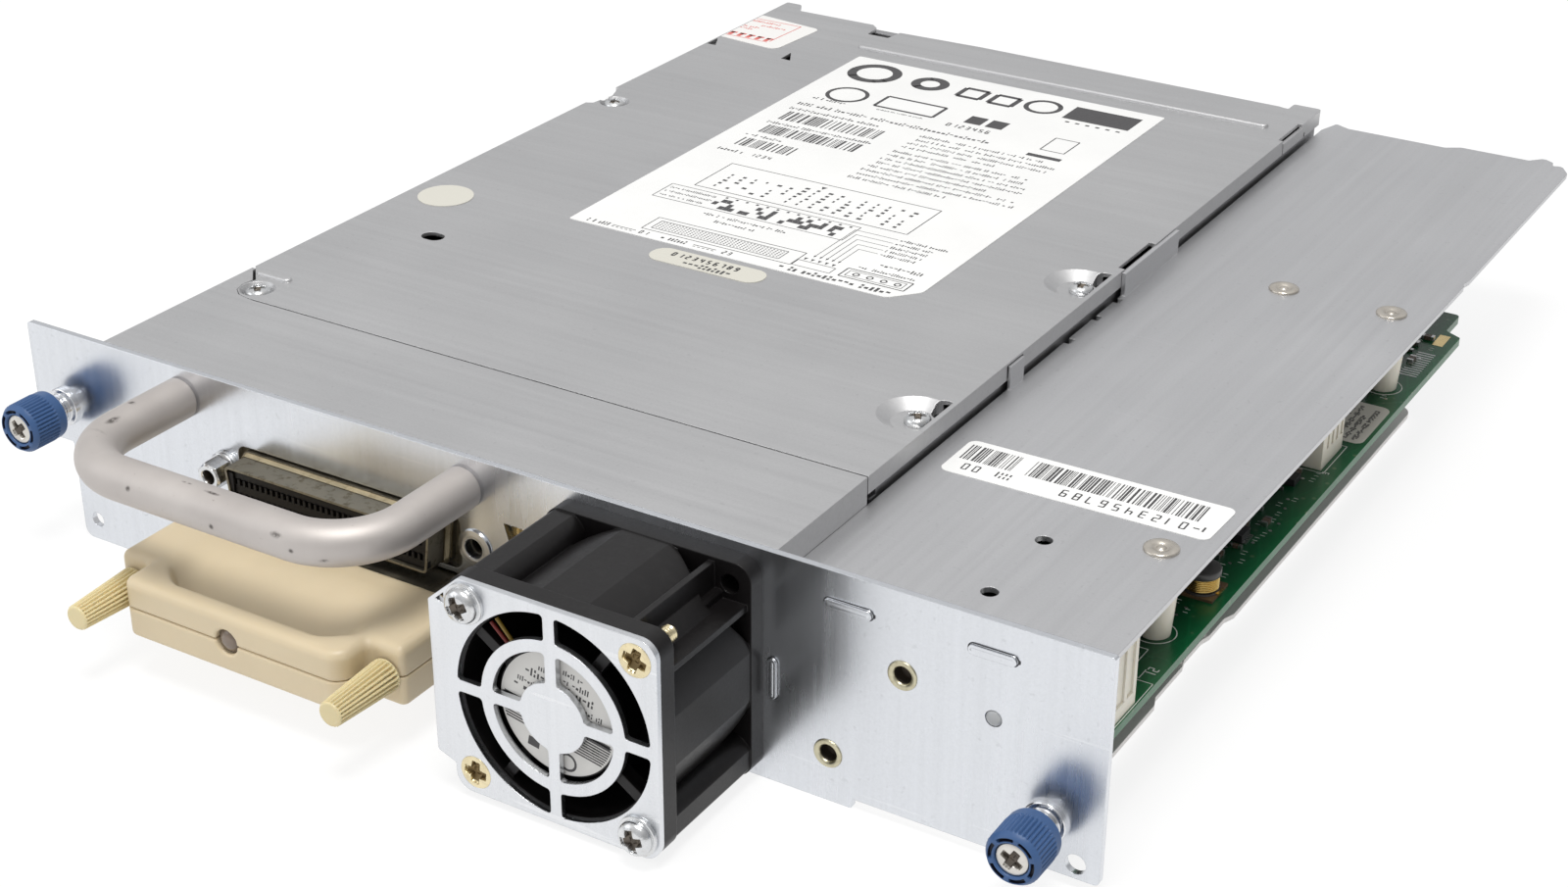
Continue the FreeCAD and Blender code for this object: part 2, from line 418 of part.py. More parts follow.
for i in range(5):
    bl = box(10.2, 18.4, -8.0, 8.0, -0.6, 0.6)
    bl.rotate(V(0, 0, 0), V(1, 0, 0), 38)
    bl.rotate(V(0, 0, 0), V(0, 1, 0), 72 * i + 10)
    bl.translate(V(FX, -14.0, FZ))
    blades.append(bl.common(cyly(FX, FZ, -22.5, -5.0, 17.7)))
node("fan_rotor", fuse(rot, *blades))

# guard plate: rings and spokes cut from sheet, with an ear on the left
G0, G1 = FAN_FRONT - GUARD_T, FAN_FRONT
h = FAN_W / 2
gp = [(FX - h - 3.5, FZ - 14.0), (FX - h + 0.1, FZ - 15.4), (FX - h, FZ - h), (FX + h, FZ - h), (FX + h, FZ + h), (FX - h + 2.6, FZ + h), (FX - h - 3.5, FZ + 14.5)]
guard = plate_y(gp, [0.6, 0.5, 3.2, 3.2, 3.2, 0.8, 0.5], G0, G1)
ring_o = cut(cyly(FX, FZ, G0 - 1, G1 + 1, 18.6), cyly(FX, FZ, G0 - 2, G1 + 2, 13.85))
ring_i = cut(cyly(FX, FZ, G0 - 1, G1 + 1, 11.7), cyly(FX, FZ, G0 - 2, G1 + 2, 6.2))
sp = [box(FX - 1.05, FX + 1.05, G0 - 3, G1 + 3, FZ - 20, FZ + 20), box(FX - 20, FX + 20, G0 - 3, G1 + 3, FZ - 1.05, FZ + 1.05)]
ring_o = cut(ring_o, *sp); ring_i = cut(ring_i, *sp)
ring_o = fillet(ring_o, 0.7, lambda e: abs(edge_dir(e).y) > 0.99)
ring_i = fillet(ring_i, 0.7, lambda e: abs(edge_dir(e).y) > 0.99)
guard = cut(guard, ring_o, ring_i, *[cyly(FX + sx * FAN_HOLE, FZ + sz * FAN_HOLE, G0 - 1, G1 + 1, 1.75) for sx in (-1, 1) for sz in (-1, 1)])
flush = [(FX + FAN_HOLE, FZ + FAN_HOLE), (FX - FAN_HOLE, FZ - FAN_HOLE)]
pan = [(FX - FAN_HOLE, FZ + FAN_HOLE), (FX + FAN_HOLE, FZ - FAN_HOLE)]
guard = cut(guard, *[coney(x, z, G0 - 0.01, G0 + 0.95, 3.05, 1.9) for x, z in flush])
guard = cut(guard, poly_y([(FX - h - 2.0, FZ + 15.0), (FX - h - 0.3, FZ + 16.6), (FX - h - 0.3, FZ + 14.4)], G0 - 1, G1 + 1))
node("fan_guard", guard)
ps, fs = [], []
for x, z in pan:
    hd = fuse(cyly(x, z, G0 - 0.7, G0, 3.6), cyly(x, z, G0 - 2.6, G0 - 0.6, 3.1), cyly(x, z, G0 - 0.1, 3.4, 1.5))
    hd = fillet(hd, 0.9, lambda e: abs(e.BoundBox.YMax - (G0 - 2.6)) < 1e-4)
    ps.append(cut(hd, cross_y(x, z, G0 - 4, G0 - 1.3, 1.75, 0.42, 20.0)))
for x, z in flush:
    hd = fuse(coney(x, z, G0 - 0.05, G0 + 0.9, 2.98, 1.85), cyly(x, z, G0 + 0.5, -23.2, 1.5), coney(x, z, -23.3, -22.2, 1.5, 0.6))
    fs.append(cut(hd, cross_y(x, z, G0 - 2, G0 + 0.75, 1.7, 0.42, -15.0)))
node("fan_pan_screws", group(ps))
node("fan_flush_screws", group(fs))
# leads run from the hub along a strut, down the inside of the frame wall
leads = []
for j, (off, zz) in enumerate(((0.0, 0.0), (1.15, 0.0))):
    a = radians(131.5 + 4.9 * j)
    p0 = V(FX + 11.4 * cos(a), FAN_FRONT + 1.3, FZ + 11.4 * sin(a))
    p1 = V(FX + 17.9 * cos(a), FAN_FRONT + 1.3, FZ + 17.9 * sin(a))
    leads.append(Part.makeCylinder(0.45, (p1 - p0).Length, p0, p1 - p0))
node("fan_leads", group(leads))

# ---------------------------------------------------------------- 68-way sockets on their board
sh, ins, con = [], [], []
for CONN_X, z in (CONN_UP, CONN_LOW):
    w, hh = CONN_W / 2, CONN_H / 2
    dpts = [(CONN_X - w + 1.1, z - hh), (CONN_X + w - 1.1, z - hh), (CONN_X + w, z + hh), (CONN_X - w, z + hh)]
    dpts_i = [(CONN_X - w + 1.5, z - hh + 0.45), (CONN_X + w - 1.5, z - hh + 0.45), (CONN_X + w - 0.5, z + hh - 0.45), (CONN_X - w + 0.5, z + hh - 0.45)]
    s = plate_y(dpts, 0.9, -6.0, PANEL_T + 0.9)
    fl = plate_y(rect(CONN_X - 33.0, CONN_X + 33.0, z - 5.6, z + 5.6), 1.5, PANEL_T + 0.1, PANEL_T + 0.9)
    dlip = [(CONN_X - w + 0.5, z - hh - 0.6), (CONN_X + w - 0.5, z - hh - 0.6), (CONN_X + w + 0.6, z + hh + 0.6), (CONN_X - w - 0.6, z + hh + 0.6)]
    s = fuse(s, fl, plate_y(dlip, 1.3, -0.5, PANEL_T + 0.2) if z == CONN_UP[1] else None)
    s = cut(s, plate_y(dpts_i, 0.6, -8, 5), cyly(CONN_X - JACK, z, -2, 5, 1.7), cyly(CONN_X + JACK, z, -2, 5, 1.7))
    sh.append(s)
    blk = plate_y([(CONN_X - w + 1.75, z - hh + 0.7), (CONN_X + w - 1.75, z - hh + 0.7), (CONN_X + w - 0.75, z + hh - 0.7), (CONN_X - w + 0.75, z + hh - 0.7)],
                  0.4, -5.4, 12.0)
    core = box(CONN_X - 30, CONN_X + 30, PANEL_T + 1.0, 12.0, z - 5.0, z + 5.0)
    blk = fuse(blk, core)
    for zz in (z - 1.45, z + 1.45):
        blk = cut(blk, box(CONN_X - 21.5, CONN_X + 21.5, -6, 1.2, zz - 0.62, zz + 0.62))
    blk = cut(blk, cyly(CONN_X - JACK, z, 0, 8, 1.7), cyly(CONN_X + JACK, z, 0, 8, 1.7))
    ins.append(blk)
    if z == CONN_UP[1]:
        for zz in (z - 1.45, z + 1.45):
            for i in range(34):
                xx = CONN_X - 20.95 + 1.27 * i
                con.append(box(xx - 0.22, xx + 0.22, -4.9, 1.15, zz - 0.6, zz - 0.25))
    else:
        for zz in (z - 1.45, z + 1.45):
            for i in range(34):
                xx = CONN_X - 20.95 + 1.27 * i
                con.append(box(xx - 0.22, xx + 0.22, 12.01, 14.6, zz - 0.3, zz + 0.3))
node("hd68_shells", group(sh))
node("hd68_inserts", group(ins))
jk = []
for x, z, long in ((CONN_UP[0] - JACK, CONN_UP[1], True), (CONN_LOW[0] - JACK, CONN_LOW[1], False), (CONN_LOW[0] + JACK, CONN_LOW[1], False)):
    y0 = -5.2 if long else -4.6
    s = fuse(hexy(x, z, y0, -0.7, 4.8), cyly(x, z, -0.8, 0.0, 3.1), cyly(x, z, -0.1, 7.4, 1.65))
    s = fillet(s, 0.4, lambda e: abs(e.BoundBox.YMax - y0) < 1e-4)
    jk.append(cut(s, cyly(x, z, y0 - 1, 5.4, 1.3)))
node("jackscrews", group(jk))
CONN_X = CONN_LOW[0]
cb = box(CONN_X - 40, -104.0, 12.0, 13.6, 4.8, 36.5)
cb = cut(cb, *[box(CONN_X - 21.3, CONN_X + 21.3, 11, 15, CONN_LOW[1] + zz - 0.45, CONN_LOW[1] + zz + 0.45) for zz in (-1.45, 1.45)])
node("connector_board", cb)
node("hd68_contacts", group(con))
hd = [box(-112.9, -105.9, 2.6, 11.9, 26.6, 31.4)]
hdr = cut(hd[0], *[box(-112.3 + 1.27 * i, -111.7 + 1.27 * i, 2.0, 8.0, 27.3, 30.7) for i in range(5)])
node("id_header", hdr)

# ---------------------------------------------------------------- terminator on the lower socket
tx = TERM_X
tp = [(tx - TERM_SHALF, TERM_BACK), (tx + TERM_SHALF, TERM_BACK), (tx + TERM_SHALF, TERM_SHOULDER), (tx + TERM_HALF, TERM_SHOULDER),
      (tx + TERM_HALF, TERM_FRONT), (tx - TERM_HALF, TERM_FRONT), (tx - TERM_HALF, TERM_SHOULDER), (tx - TERM_SHALF, TERM_SHOULDER)]
tr = [0.8, 0.8, 1.2, 1.2, 3.4, 2.2, 1.2, 1.2]
body = plate_z(tp, tr, TERM_Z0, TERM_Z1)
body = fillet(body, 1.1, lambda e: abs(e.BoundBox.ZMin - TERM_Z1) < 1e-4 and abs(e.BoundBox.ZMax - TERM_Z1) < 1e-4 and e.BoundBox.YMin < TERM_BACK - 0.9)
body = fillet(body, 0.6, lambda e: abs(e.BoundBox.ZMin - TERM_Z0) < 1e-4 and abs(e.BoundBox.ZMax - TERM_Z0) < 1e-4 and e.BoundBox.YMin < TERM_BACK - 0.9)
# scooped valley across the top, behind the rounded front edge
val = Part.makeCylinder(11.0, 34.0, V(tx - 17.0, -22.0, TERM_Z1 + 9.6), V(1, 0, 0))
body = cut(body, val)
inner = plate_z([(tx - 22.4, -6.9), (tx + 22.4, -6.9), (tx + 22.4, TERM_FRONT + 2.0), (tx - 22.4, TERM_FRONT + 2.0)], 2.2, TERM_Z0 + 1.8, TERM_Z1 - 3.4)
mouth = box(tx - 24.6, tx + 24.6, -9.2, TERM_BACK + 1, TERM_ZM - 5.0, TERM_ZM + 5.0)
body = cut(body, inner, mouth, cyly(tx - JACK, TERM_ZM, -40, 0, 1.62), cyly(tx + JACK, TERM_ZM, -40, 0, 1.62),
           cyly(tx + LENS_DX, LENS_Z, -40, TERM_FRONT + 3, 2.4))
big = 60
up = box(tx - big, tx + big, -60, 10, TERM_ZM, TERM_ZM + 30)
dn = box(tx - big, tx + big, -60, 10, TERM_ZM - 30, TERM_ZM)
top = body.common(up); bot = body.common(dn)
node("term_shell_top", top)
node("term_shell_bottom", bot)
pl_o = plate_y(rect(tx - 24.4, tx + 24.4, TERM_ZM - 4.95, TERM_ZM + 4.95), 1.6, -8.9, -0.25)
pl_i = plate_y(rect(tx - 23.75, tx + 23.75, TERM_ZM - 4.5, TERM_ZM + 4.5), 1.2, -6.4, 1)
plug = cut(pl_o, pl_i)
plug = fuse(plug, box(tx - 21.8, tx + 21.8, -15.0, -8.8, TERM_ZM - 3.4, TERM_ZM + 2.0))
pins = []
for zz in (TERM_ZM - 1.45, TERM_ZM + 1.45):
    for i in range(34):
        xx = tx - 20.95 + 1.27 * i
        pins.append(box(xx - 0.3, xx + 0.3, -6.6, -1.6, zz - 0.24, zz + 0.24))
node("term_plug", fuse(plug, *pins))
node("term_board", box(tx - 21.6, tx + 21.6, -29.4, -15.05, TERM_ZM - 1.6, TERM_ZM - 0.6))
node("term_lens", fuse(cyly(tx + LENS_DX, LENS_Z, TERM_FRONT + 0.8, TERM_FRONT + 2.0, 2.36), cyly(tx + LENS_DX, LENS_Z, TERM_FRONT + 1.9, TERM_FRONT + 2.85, 1.5)))
for side, sx in (("left", -1), ("right", 1)):
    x = tx + sx * JACK
    s = fuse(coney(x, TERM_ZM, -39.8, TERM_SHOULDER - 0.3, 2.3, 3.05))
    s = fuse(s, cyly(x, TERM_ZM, TERM_SHOULDER - 0.4, -5.0, 1.55), cyly(x, TERM_ZM, -5.1, -0.6, 1.24))
    node("term_screw_" + side, s)

# ---------------------------------------------------------------- drive covers
top = plate_z([(DRIVE_L, 42.35), (-200.3, 37.35), (-201.0, 34.6), (-200.2, 32.0), (-198.3, 30.5), (-196.0, SEAM_Y + 0.2), (DRIVE_R, SEAM_Y + 0.2), (DRIVE_R, DRIVE_FAR), (-65.6, DRIVE_FAR), (-65.6, 236.3), (-68.0, 237.0),
               (-146.2, 238.2), (-168.2, 237.4), (-168.8, 232.3), (-174.6, 232.3), (-175.0, 237.6), (-177.0, 239.4), (-198.6, 239.4), (-200.6, 243.8), (DRIVE_L, 243.8)],
              [0, 0, 0, 0, 0, 0, 0, 1.0, 0.6, 0.6, 0.6, 0, 0.5, 0.5, 0.5, 0.5, 0.8, 1.2, 1.6, 0.5], DRIVE_TOP - SHEET, DRIVE_TOP)
skr = box(DRIVE_R - SHEET, DRIVE_R, SEAM_Y + 0.2, DRIVE_FAR - 1.0, SKIRT_Z, DRIVE_TOP - 0.1)
skl = box(DRIVE_L, DRIVE_L + SHEET, 42.35, DRIVE_FAR + 1.0, SKIRT_Z, DRIVE_TOP - 0.1)
rib = fuse(box(-170.4, -66.3, 221.6, 224.0, DRIVE_TOP - 0.1, DRIVE_TOP + 0.7), cylz(-170.4, 222.8, DRIVE_TOP - 0.1, DRIVE_TOP + 0.7, 1.2), cylz(-66.3, 222.8, DRIVE_TOP - 0.1, DRIVE_TOP + 0.7, 1.2))
rib = fillet(rib, 0.55, lambda e: abs(e.BoundBox.ZMin - (DRIVE_TOP + 0.7)) < 1e-4)
SCR_RIGHT = [(-63.0, 54.5), (-63.0, 120.8)]
SCR_LEFT = [(-197.1, 34.3), (-199.6, 158.2)]
adds, cuts = [skr, skl, rib], []
for x, y in SCR_RIGHT:
    pad = cylz(x - 0.6, y, 38.9, DRIVE_TOP - 0.2, 7.4).common(box(x - 20, DRIVE_R - 1.3, y - 20, y + 20, 30, 50))
    adds.append(pad)
    bowl = conez(x - 0.6, y, 39.9, DRIVE_TOP + 0.01, 4.3, 6.9)
    cuts.append(bowl.common(box(x - 20, DRIVE_R - 1.0, y - 20, y + 20, 30, 50)))
    cuts.append(box(DRIVE_R - 1.4, DRIVE_R - 0.95, y - 6.0, y + 3.5, 37, 45))
    cr = cylz(-60.6, y + 5.2, 37, 45, 2.2).common(box(-62.6, DRIVE_R - 0.95, y - 1, y + 12, 30, 50))
    cuts.append(cr)
    cuts.append(cylz(x, y, 30, 45, 1.6))
for x, y in SCR_LEFT:
    adds.append(cylz(x, y, 39.3, DRIVE_TOP - 0.2, 3.75))
    cuts.append(conez(x, y, 40.2, DRIVE_TOP + 0.01, 2.8, 3.5))
    cuts.append(cylz(x, y, 30, 45, 1.6))
# triangular relief beside the second left screw
cuts.append(poly_z([(-206.0, 153.6), (-203.4, 155.0), (-202.4, 161.4), (-204.2, 166.4), (-206.0, 166.4)], 37, 45))
# a short pressed rib by the front left screw
rb = fuse(box(-201.2, -194.9, 39.2, 41.2, DRIVE_TOP - 0.1, DRIVE_TOP + 0.6), cylz(-194.9, 40.2, DRIVE_TOP - 0.1, DRIVE_TOP + 0.6, 1.0), cylz(-201.2, 40.2, DRIVE_TOP - 0.1, DRIVE_TOP + 0.6, 1.0))
adds.append(fillet(rb, 0.5, lambda e: abs(e.BoundBox.ZMin - (DRIVE_TOP + 0.6)) < 1e-4))
# two lanced triangular windows, an oval hole, edge slots
cuts.append(poly_z([(-204.5, 204.9), (-201.9, 204.9), (-204.5, 210.0)], 40.3, 45))
cuts.append(poly_z([(-183.1, 204.8), (-180.4, 204.7), (-183.3, 209.9)], 37, 45))
cuts.append(fuse(cylz(-185.4, 72.8, 37, 45, 1.9), cylz(-184.2, 72.8, 37, 45, 1.9), box(-185.4, -184.2, 70.9, 74.7, 37, 45)))
cuts.append(box(DRIVE_R - 1.4, DRIVE_R + 1, 131.8, 146.9, 40.45, 45))
cuts.append(box(DRIVE_R - 1.1, DRIVE_R + 1, 216.0, 228.4, 40.55, 45))
cuts.append(box(DRIVE_R - 1.1, DRIVE_R + 1, 216.0, 216.7, 37, 45))
cuts.append(fuse(box(DRIVE_R - 1.1, DRIVE_R + 1, 80.9, 87.4, 38.4, 41.0)))
cuts.append(box(DRIVE_R - 1.1, DRIVE_R + 1, 229.2, 230.2, 37, 39.2))
tc = cut(fuse(top, *adds), *cuts)
tc = fuse(tc) if len(tc.Solids) == 1 else tc
node("drive_top_cover", tc)
strip = plate_z([(DRIVE_L, 1.25), (DRIVE_R, 1.25), (DRIVE_R, SEAM_Y - 0.2), (-194.0, SEAM_Y - 0.2), (-196.0, SEAM_Y + 0.05), (-198.4, 30.38), (-200.32, 31.93), (-201.12, 34.6), (-200.78, 36.95), (DRIVE_L, 41.65)],
                [0, 0, 0, 0, 0, 0, 0, 0, 0, 0], DRIVE_TOP - SHEET, DRIVE_TOP)
strip = fuse(strip, box(DRIVE_R - SHEET, DRIVE_R, 1.25, SEAM_Y - 0.2, 12.0, DRIVE_TOP - 0.1), box(DRIVE_L, DRIVE_L + SHEET, 1.25, 31.5, 12.0, DRIVE_TOP - 0.1),
             box(DRIVE_L, DRIVE_L + SHEET, 31.4, 41.65, SKIRT_Z, DRIVE_TOP - 0.1))
node("strip_cover", strip)

cs = []
for x, y in SCR_RIGHT:
    s = fuse(cylz(x, y, 33.0, 40.0, 1.5), cylz(x, y, 39.9, 41.5, 2.45))
    s = fillet(s, 0.6, lambda e: abs(e.BoundBox.ZMin - 41.5) < 1e-4)
    cs.append(cut(s, cross_z(x, y, 40.6, 43, 1.45, 0.32, 25.0)))
for x, y in SCR_LEFT:
    zt = 40.2
    s = fuse(cylz(x, y, 33.0, zt + 0.1, 1.5), cylz(x, y, zt, zt + 1.6, 2.5))
    s = fillet(s, 0.6, lambda e: abs(e.BoundBox.ZMin - (zt + 1.6)) < 1e-4)
    cs.append(cut(s, cross_z(x, y, zt + 0.7, zt + 3, 1.5, 0.34, 40.0)))
node("cover_screws", group(cs))
ds = []
for x, y in DRIVE_HOLES:
    s = fuse(cylz(x, y, TRAY_TOP - SLED_T - 1.0, TRAY_TOP - SLED_T, 2.8), cylz(x, y, TRAY_TOP - SLED_T - 0.2, 8.0, 1.5))
    ds.append(cut(s, cross_z(x, y, -3, TRAY_TOP - SLED_T - 0.5, 1.5, 0.34, 45.0)))
node("drive_screws", group(ds))

# ---------------------------------------------------------------- drive inside: bottom cover, board, cast chassis
L1, R1 = DRIVE_L + 0.85, DRIVE_R - 0.85
bc = box(L1, R1, 4.0, 239.0, TRAY_TOP, TRAY_TOP + SHEET)
bc = cut(bc, *[cylz(x, y, -3, 3, 1.7) for x, y in DRIVE_HOLES])
node("drive_bottom_cover", bc)
DECK0, DECK1 = 8.6, 10.6
DOOR_Y, DOOR_Z = 235.0, 38.4     # door rod
SLOT_HALF, SLOT_Z0, SLOT_Z1 = 53.4, 15.0, 37.2
ch = box(L1, R1, 34.0, 239.0, DECK0, DECK1)
ws = [box(L1, L1 + 2.4, 34.0, 239.0, TRAY_TOP + SHEET, SKIRT_Z - 0.1), box(R1 - 2.4, R1, 34.0, 239.0, TRAY_TOP + SHEET, SKIRT_Z - 0.1),
      box(L1, R1, 31.9, 34.1, 5.0, 36.0), box(L1, R1, 236.6, 239.0, TRAY_TOP + SHEET, 40.6)]
bosses = [cylz(x, y, TRAY_TOP + SHEET, 9.0, 3.0) for x, y in DRIVE_HOLES]
bosses += [cylz(x, y, 4.8, 9.0, 2.5) for x in (-192.0, -72.0) for y in (42.0, 226.0)]
bosses += [cylz(x, y, 10.0, 38.9, 2.7).common(box(L1, R1, 0, 300, 0, 60)) for x, y in SCR_RIGHT] + [cylz(x, y, 10.0, 39.3, 2.7).common(box(L1, R1, 0, 300, 0, 60)) for x, y in SCR_LEFT]
ROLL = {"left": (-163.0, 127.5), "right": (-100.8, 127.5)}
pinr = 1.5
posts = [cylz(x, y, 10.0, 34.0, pinr) for x, y in ROLL.values()] + [cylz(x, y, 10.0, 12.0, 3.0) for x, y in ROLL.values()]
brk = [box(REEL_X + sx * 55.6 - 1.0, REEL_X + sx * 55.6 + 1.0, 233.0, 236.7, DOOR_Z - 2.0, 40.4) for sx in (-1, 1)]
ch = fuse(ch, *(ws + bosses + posts + brk))
ch = cut(ch, cylz(REEL_X, REEL_Y, 5, 12, 6.2), cylz(REEL_X, HUB_Y, 5, 12, 6.2),
         box(REEL_X - SLOT_HALF, REEL_X + SLOT_HALF, 236, 240, SLOT_Z0, SLOT_Z1),
         cylx(DOOR_Y, DOOR_Z, REEL_X - 56.0, REEL_X + 56.0, 1.06),
         cylz(REEL_X, 125.2, 5, 12, 4.45),
         *([cylz(x, y, -1, 8.2, 1.5) for x, y in DRIVE_HOLES] + [cylz(x, y, 32.6, 45, 1.5) for x, y in SCR_RIGHT + SCR_LEFT]))
node("drive_chassis", ch)
db = box(L1 + 3.0, R1 - 3.0, 36.0, 234.0, 3.2, 4.8)
db = cut(db, *[cylz(x, y, 0, 8, 3.5) for x, y in DRIVE_HOLES])
db = fuse(db, *[box(x - w / 2, x + w / 2, y - l / 2, y + l / 2, 4.7, 4.7 + hh) for x, y, w, l, hh in
                ((-170, 60, 20, 20, 1.6), (-95, 60, 24, 24, 1.8), (-170, 110, 14, 20, 1.4), (-95, 115, 12, 12, 1.4), (-170, 170, 18, 18, 1.6), (-95, 200, 16, 10, 1.4))])
node("drive_board", db)
rm = []
for y in (REEL_Y, HUB_Y):
    s = fuse(cylz(REEL_X, y, 4.85, 5.9, 17.0), cylz(REEL_X, y, 5.8, 8.2, 15.0), cylz(REEL_X, y, 5.8, 10.4, 6.15))
    rm.append(cut(s, cylz(REEL_X, y, 5.8, 14, 3.05)))
node("reel_motors", group(rm))
# take-up reel with two flanges on its spindle
re = fuse(cylz(REEL_X, REEL_Y, 6.2, 34.0, 3.0), cylz(REEL_X, REEL_Y, 11.6, 34.4, 20.0), cylz(REEL_X, REEL_Y, 12.4, 13.6, REEL_R), cylz(REEL_X, REEL_Y, 27.4, 28.6, REEL_R))
re = cut(re, *[cylz(REEL_X + 30 * cos(radians(a)), REEL_Y + 30 * sin(radians(a)), 26, 30, 5.5) for a in range(0, 360, 60)])
re = cut(re, cylz(REEL_X, REEL_Y, 30.5, 36, 17.0))
node("takeup_reel", re)
hb = fuse(cylz(REEL_X, HUB_Y, 6.2, 12.0, 3.0), cylz(REEL_X, HUB_Y, 10.9, 13.2, 13.0))
teeth = [box(9.2, 12.4, -0.8, 0.8, 0, 1.0) for _ in range(16)]
for i, t in enumerate(teeth):
    t.rotate(V(0, 0, 0), V(0, 0, 1), i * 22.5); t.translate(V(REEL_X, HUB_Y, 13.1))
node("cartridge_hub", fuse(hb, *teeth))
# recording head on its actuator
ha = fuse(box(REEL_X - 5.5, REEL_X + 5.5, 122.0, 128.5, 14.6, 27.6), box(REEL_X - 2.6, REEL_X + 2.6, 128.4, 130.6, 14.6, 27.6), cylz(REEL_X, 125.2, 9.4, 14.8, 2.4))
node("head_assembly", ha)
ac = cut(fuse(box(REEL_X - 10.5, REEL_X + 10.5, 117.0, 133.4, 6.0, DECK0), cylz(REEL_X, 125.2, DECK0 - 0.1, 12.2, 4.4)), cylz(REEL_X, 125.2, 6.6, 20, 2.46))
node("head_actuator", ac)
for side, (x, y) in ROLL.items():
    r = fuse(cylz(x, y, 13.0, 30.0, 4.6), cylz(x, y, 12.6, 13.6, 5.4), cylz(x, y, 29.4, 30.4, 5.4))
    node("guide_roller_" + side, cut(r, cylz(x, y, 10, 32, pinr + 0.05)))
# loader tray: open frame that carries the cartridge
LT, T0, T1, TZ0, TZ1 = 54.2, 145.0, 209.5, 14.4, 38.0
lt = box(REEL_X - LT, REEL_X + LT, T0, T1, TZ0, TZ0 + 0.8)
lt = fuse(lt, box(REEL_X - LT, REEL_X - LT + 0.9, T0, T1, TZ0, TZ1), box(REEL_X + LT - 0.9, REEL_X + LT, T0, T1, TZ0, TZ1),
          box(REEL_X - LT, REEL_X - LT + 7.0, T0, T1, TZ1 - 0.8, TZ1), box(REEL_X + LT - 7.0, REEL_X + LT, T0, T1, TZ1 - 0.8, TZ1))
lt = cut(lt, cylz(REEL_X, HUB_Y, 12, 17, 24.5), box(REEL_X - 24.5, REEL_X + 24.5, HUB_Y, 240, 12, 17))
node("loader_tray", lt)
# hinged door behind the cartridge slot, hung from a rod along its upper edge
dr = fuse(box(REEL_X - 54.2, REEL_X + 54.2, 234.5, 235.5, 14.2, 38.2), cylx(DOOR_Y, DOOR_Z, REEL_X - 55.9, REEL_X + 55.9, 1.0))
node("cartridge_door", dr)

# ---------------------------------------------------------------- labels
LT_Z = 0.12
lm = plate_z([(-167.6, 216.2), (-167.0, 95.0), (-92.0, 94.8), (-87.1, 100.6), (-87.1, 215.6)], [0.6, 0.6, 2.4, 2.4, 0.6], DRIVE_TOP, DRIVE_TOP + LT_Z)
node("label_main", lm)
lb = plate_z([(-54.9, 59.9), (-54.9, 47.2), (-5.6, 48.1), (-5.3, 60.6)], 1.6, COVER_TOP, COVER_TOP + LT_Z)
node("label_barcode", lb)
pill = plate_z(rect(-142.8, -116.5, 86.5, 93.0), 3.1, DRIVE_TOP, DRIVE_TOP + LT_Z)
dot = cylz(-196.2, 91.4, DRIVE_TOP, DRIVE_TOP + LT_Z, 5.9)
corner = plate_z([(-204.4, 230.9), (-186.3, 228.6), (-187.7, 209.6), (-204.4, 211.3)], [0.3, 1.6, 2.4, 0.3], DRIVE_TOP, DRIVE_TOP + LT_Z)
bl = plate_z(rect(-14.0, -5.2, 124.2, 141.6), 1.8, BOARD_TOP, BOARD_TOP + LT_Z)
node("labels_small", group([pill, dot, corner, bl]))

# ---------------------------------------------------------------- write one file per piece
os.makedirs("parts", exist_ok=True)
shift = V(-ORIGIN[0], -ORIGIN[1], -ORIGIN[2])
for name, s in NODES.items():
    s = s.copy()
    s.translate(shift)
    for i, so in enumerate(s.Solids):
        if not so.isValid():
            print("invalid solid in", name, i)
    if not s.Solids:
        print("no solid in", name)
    s.exportStep("parts/%s.step" % name)
    bb = s.BoundBox
    print("%-22s solids %3d  vol %10.1f  x %.1f..%.1f y %.1f..%.1f z %.1f..%.1f" % (name, len(s.Solids), s.Volume, bb.XMin, bb.XMax, bb.YMin, bb.YMax, bb.ZMin, bb.ZMax))
print(len(NODES), "nodes")
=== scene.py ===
import bpy, bmesh, json, math, random
import numpy as np
from math import sin, cos, pi, radians, sqrt, atan2
from mathutils import Vector, Matrix


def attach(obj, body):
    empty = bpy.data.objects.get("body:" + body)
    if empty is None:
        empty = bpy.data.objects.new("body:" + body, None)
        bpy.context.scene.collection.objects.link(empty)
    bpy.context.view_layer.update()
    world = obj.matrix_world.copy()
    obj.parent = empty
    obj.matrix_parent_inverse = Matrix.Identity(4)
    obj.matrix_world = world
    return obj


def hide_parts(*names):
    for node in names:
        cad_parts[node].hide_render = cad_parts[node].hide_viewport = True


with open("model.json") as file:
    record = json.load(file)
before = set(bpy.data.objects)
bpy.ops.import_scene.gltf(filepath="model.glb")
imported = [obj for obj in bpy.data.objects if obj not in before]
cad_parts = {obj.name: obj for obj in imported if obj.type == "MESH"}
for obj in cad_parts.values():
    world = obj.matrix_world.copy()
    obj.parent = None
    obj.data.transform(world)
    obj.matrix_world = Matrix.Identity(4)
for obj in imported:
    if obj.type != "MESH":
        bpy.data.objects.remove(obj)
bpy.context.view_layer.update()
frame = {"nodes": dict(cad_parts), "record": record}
NODES = frame["nodes"]
random.seed(7)

# ------------------------------------------------------------------ working millimetres -> row frame metres
OX, OY, OZ = 111.7, -105.15, 1.85

def W(x, y, z):
    return Vector(((x + OX) / 1000.0, (y + OY) / 1000.0, (z + OZ) / 1000.0))

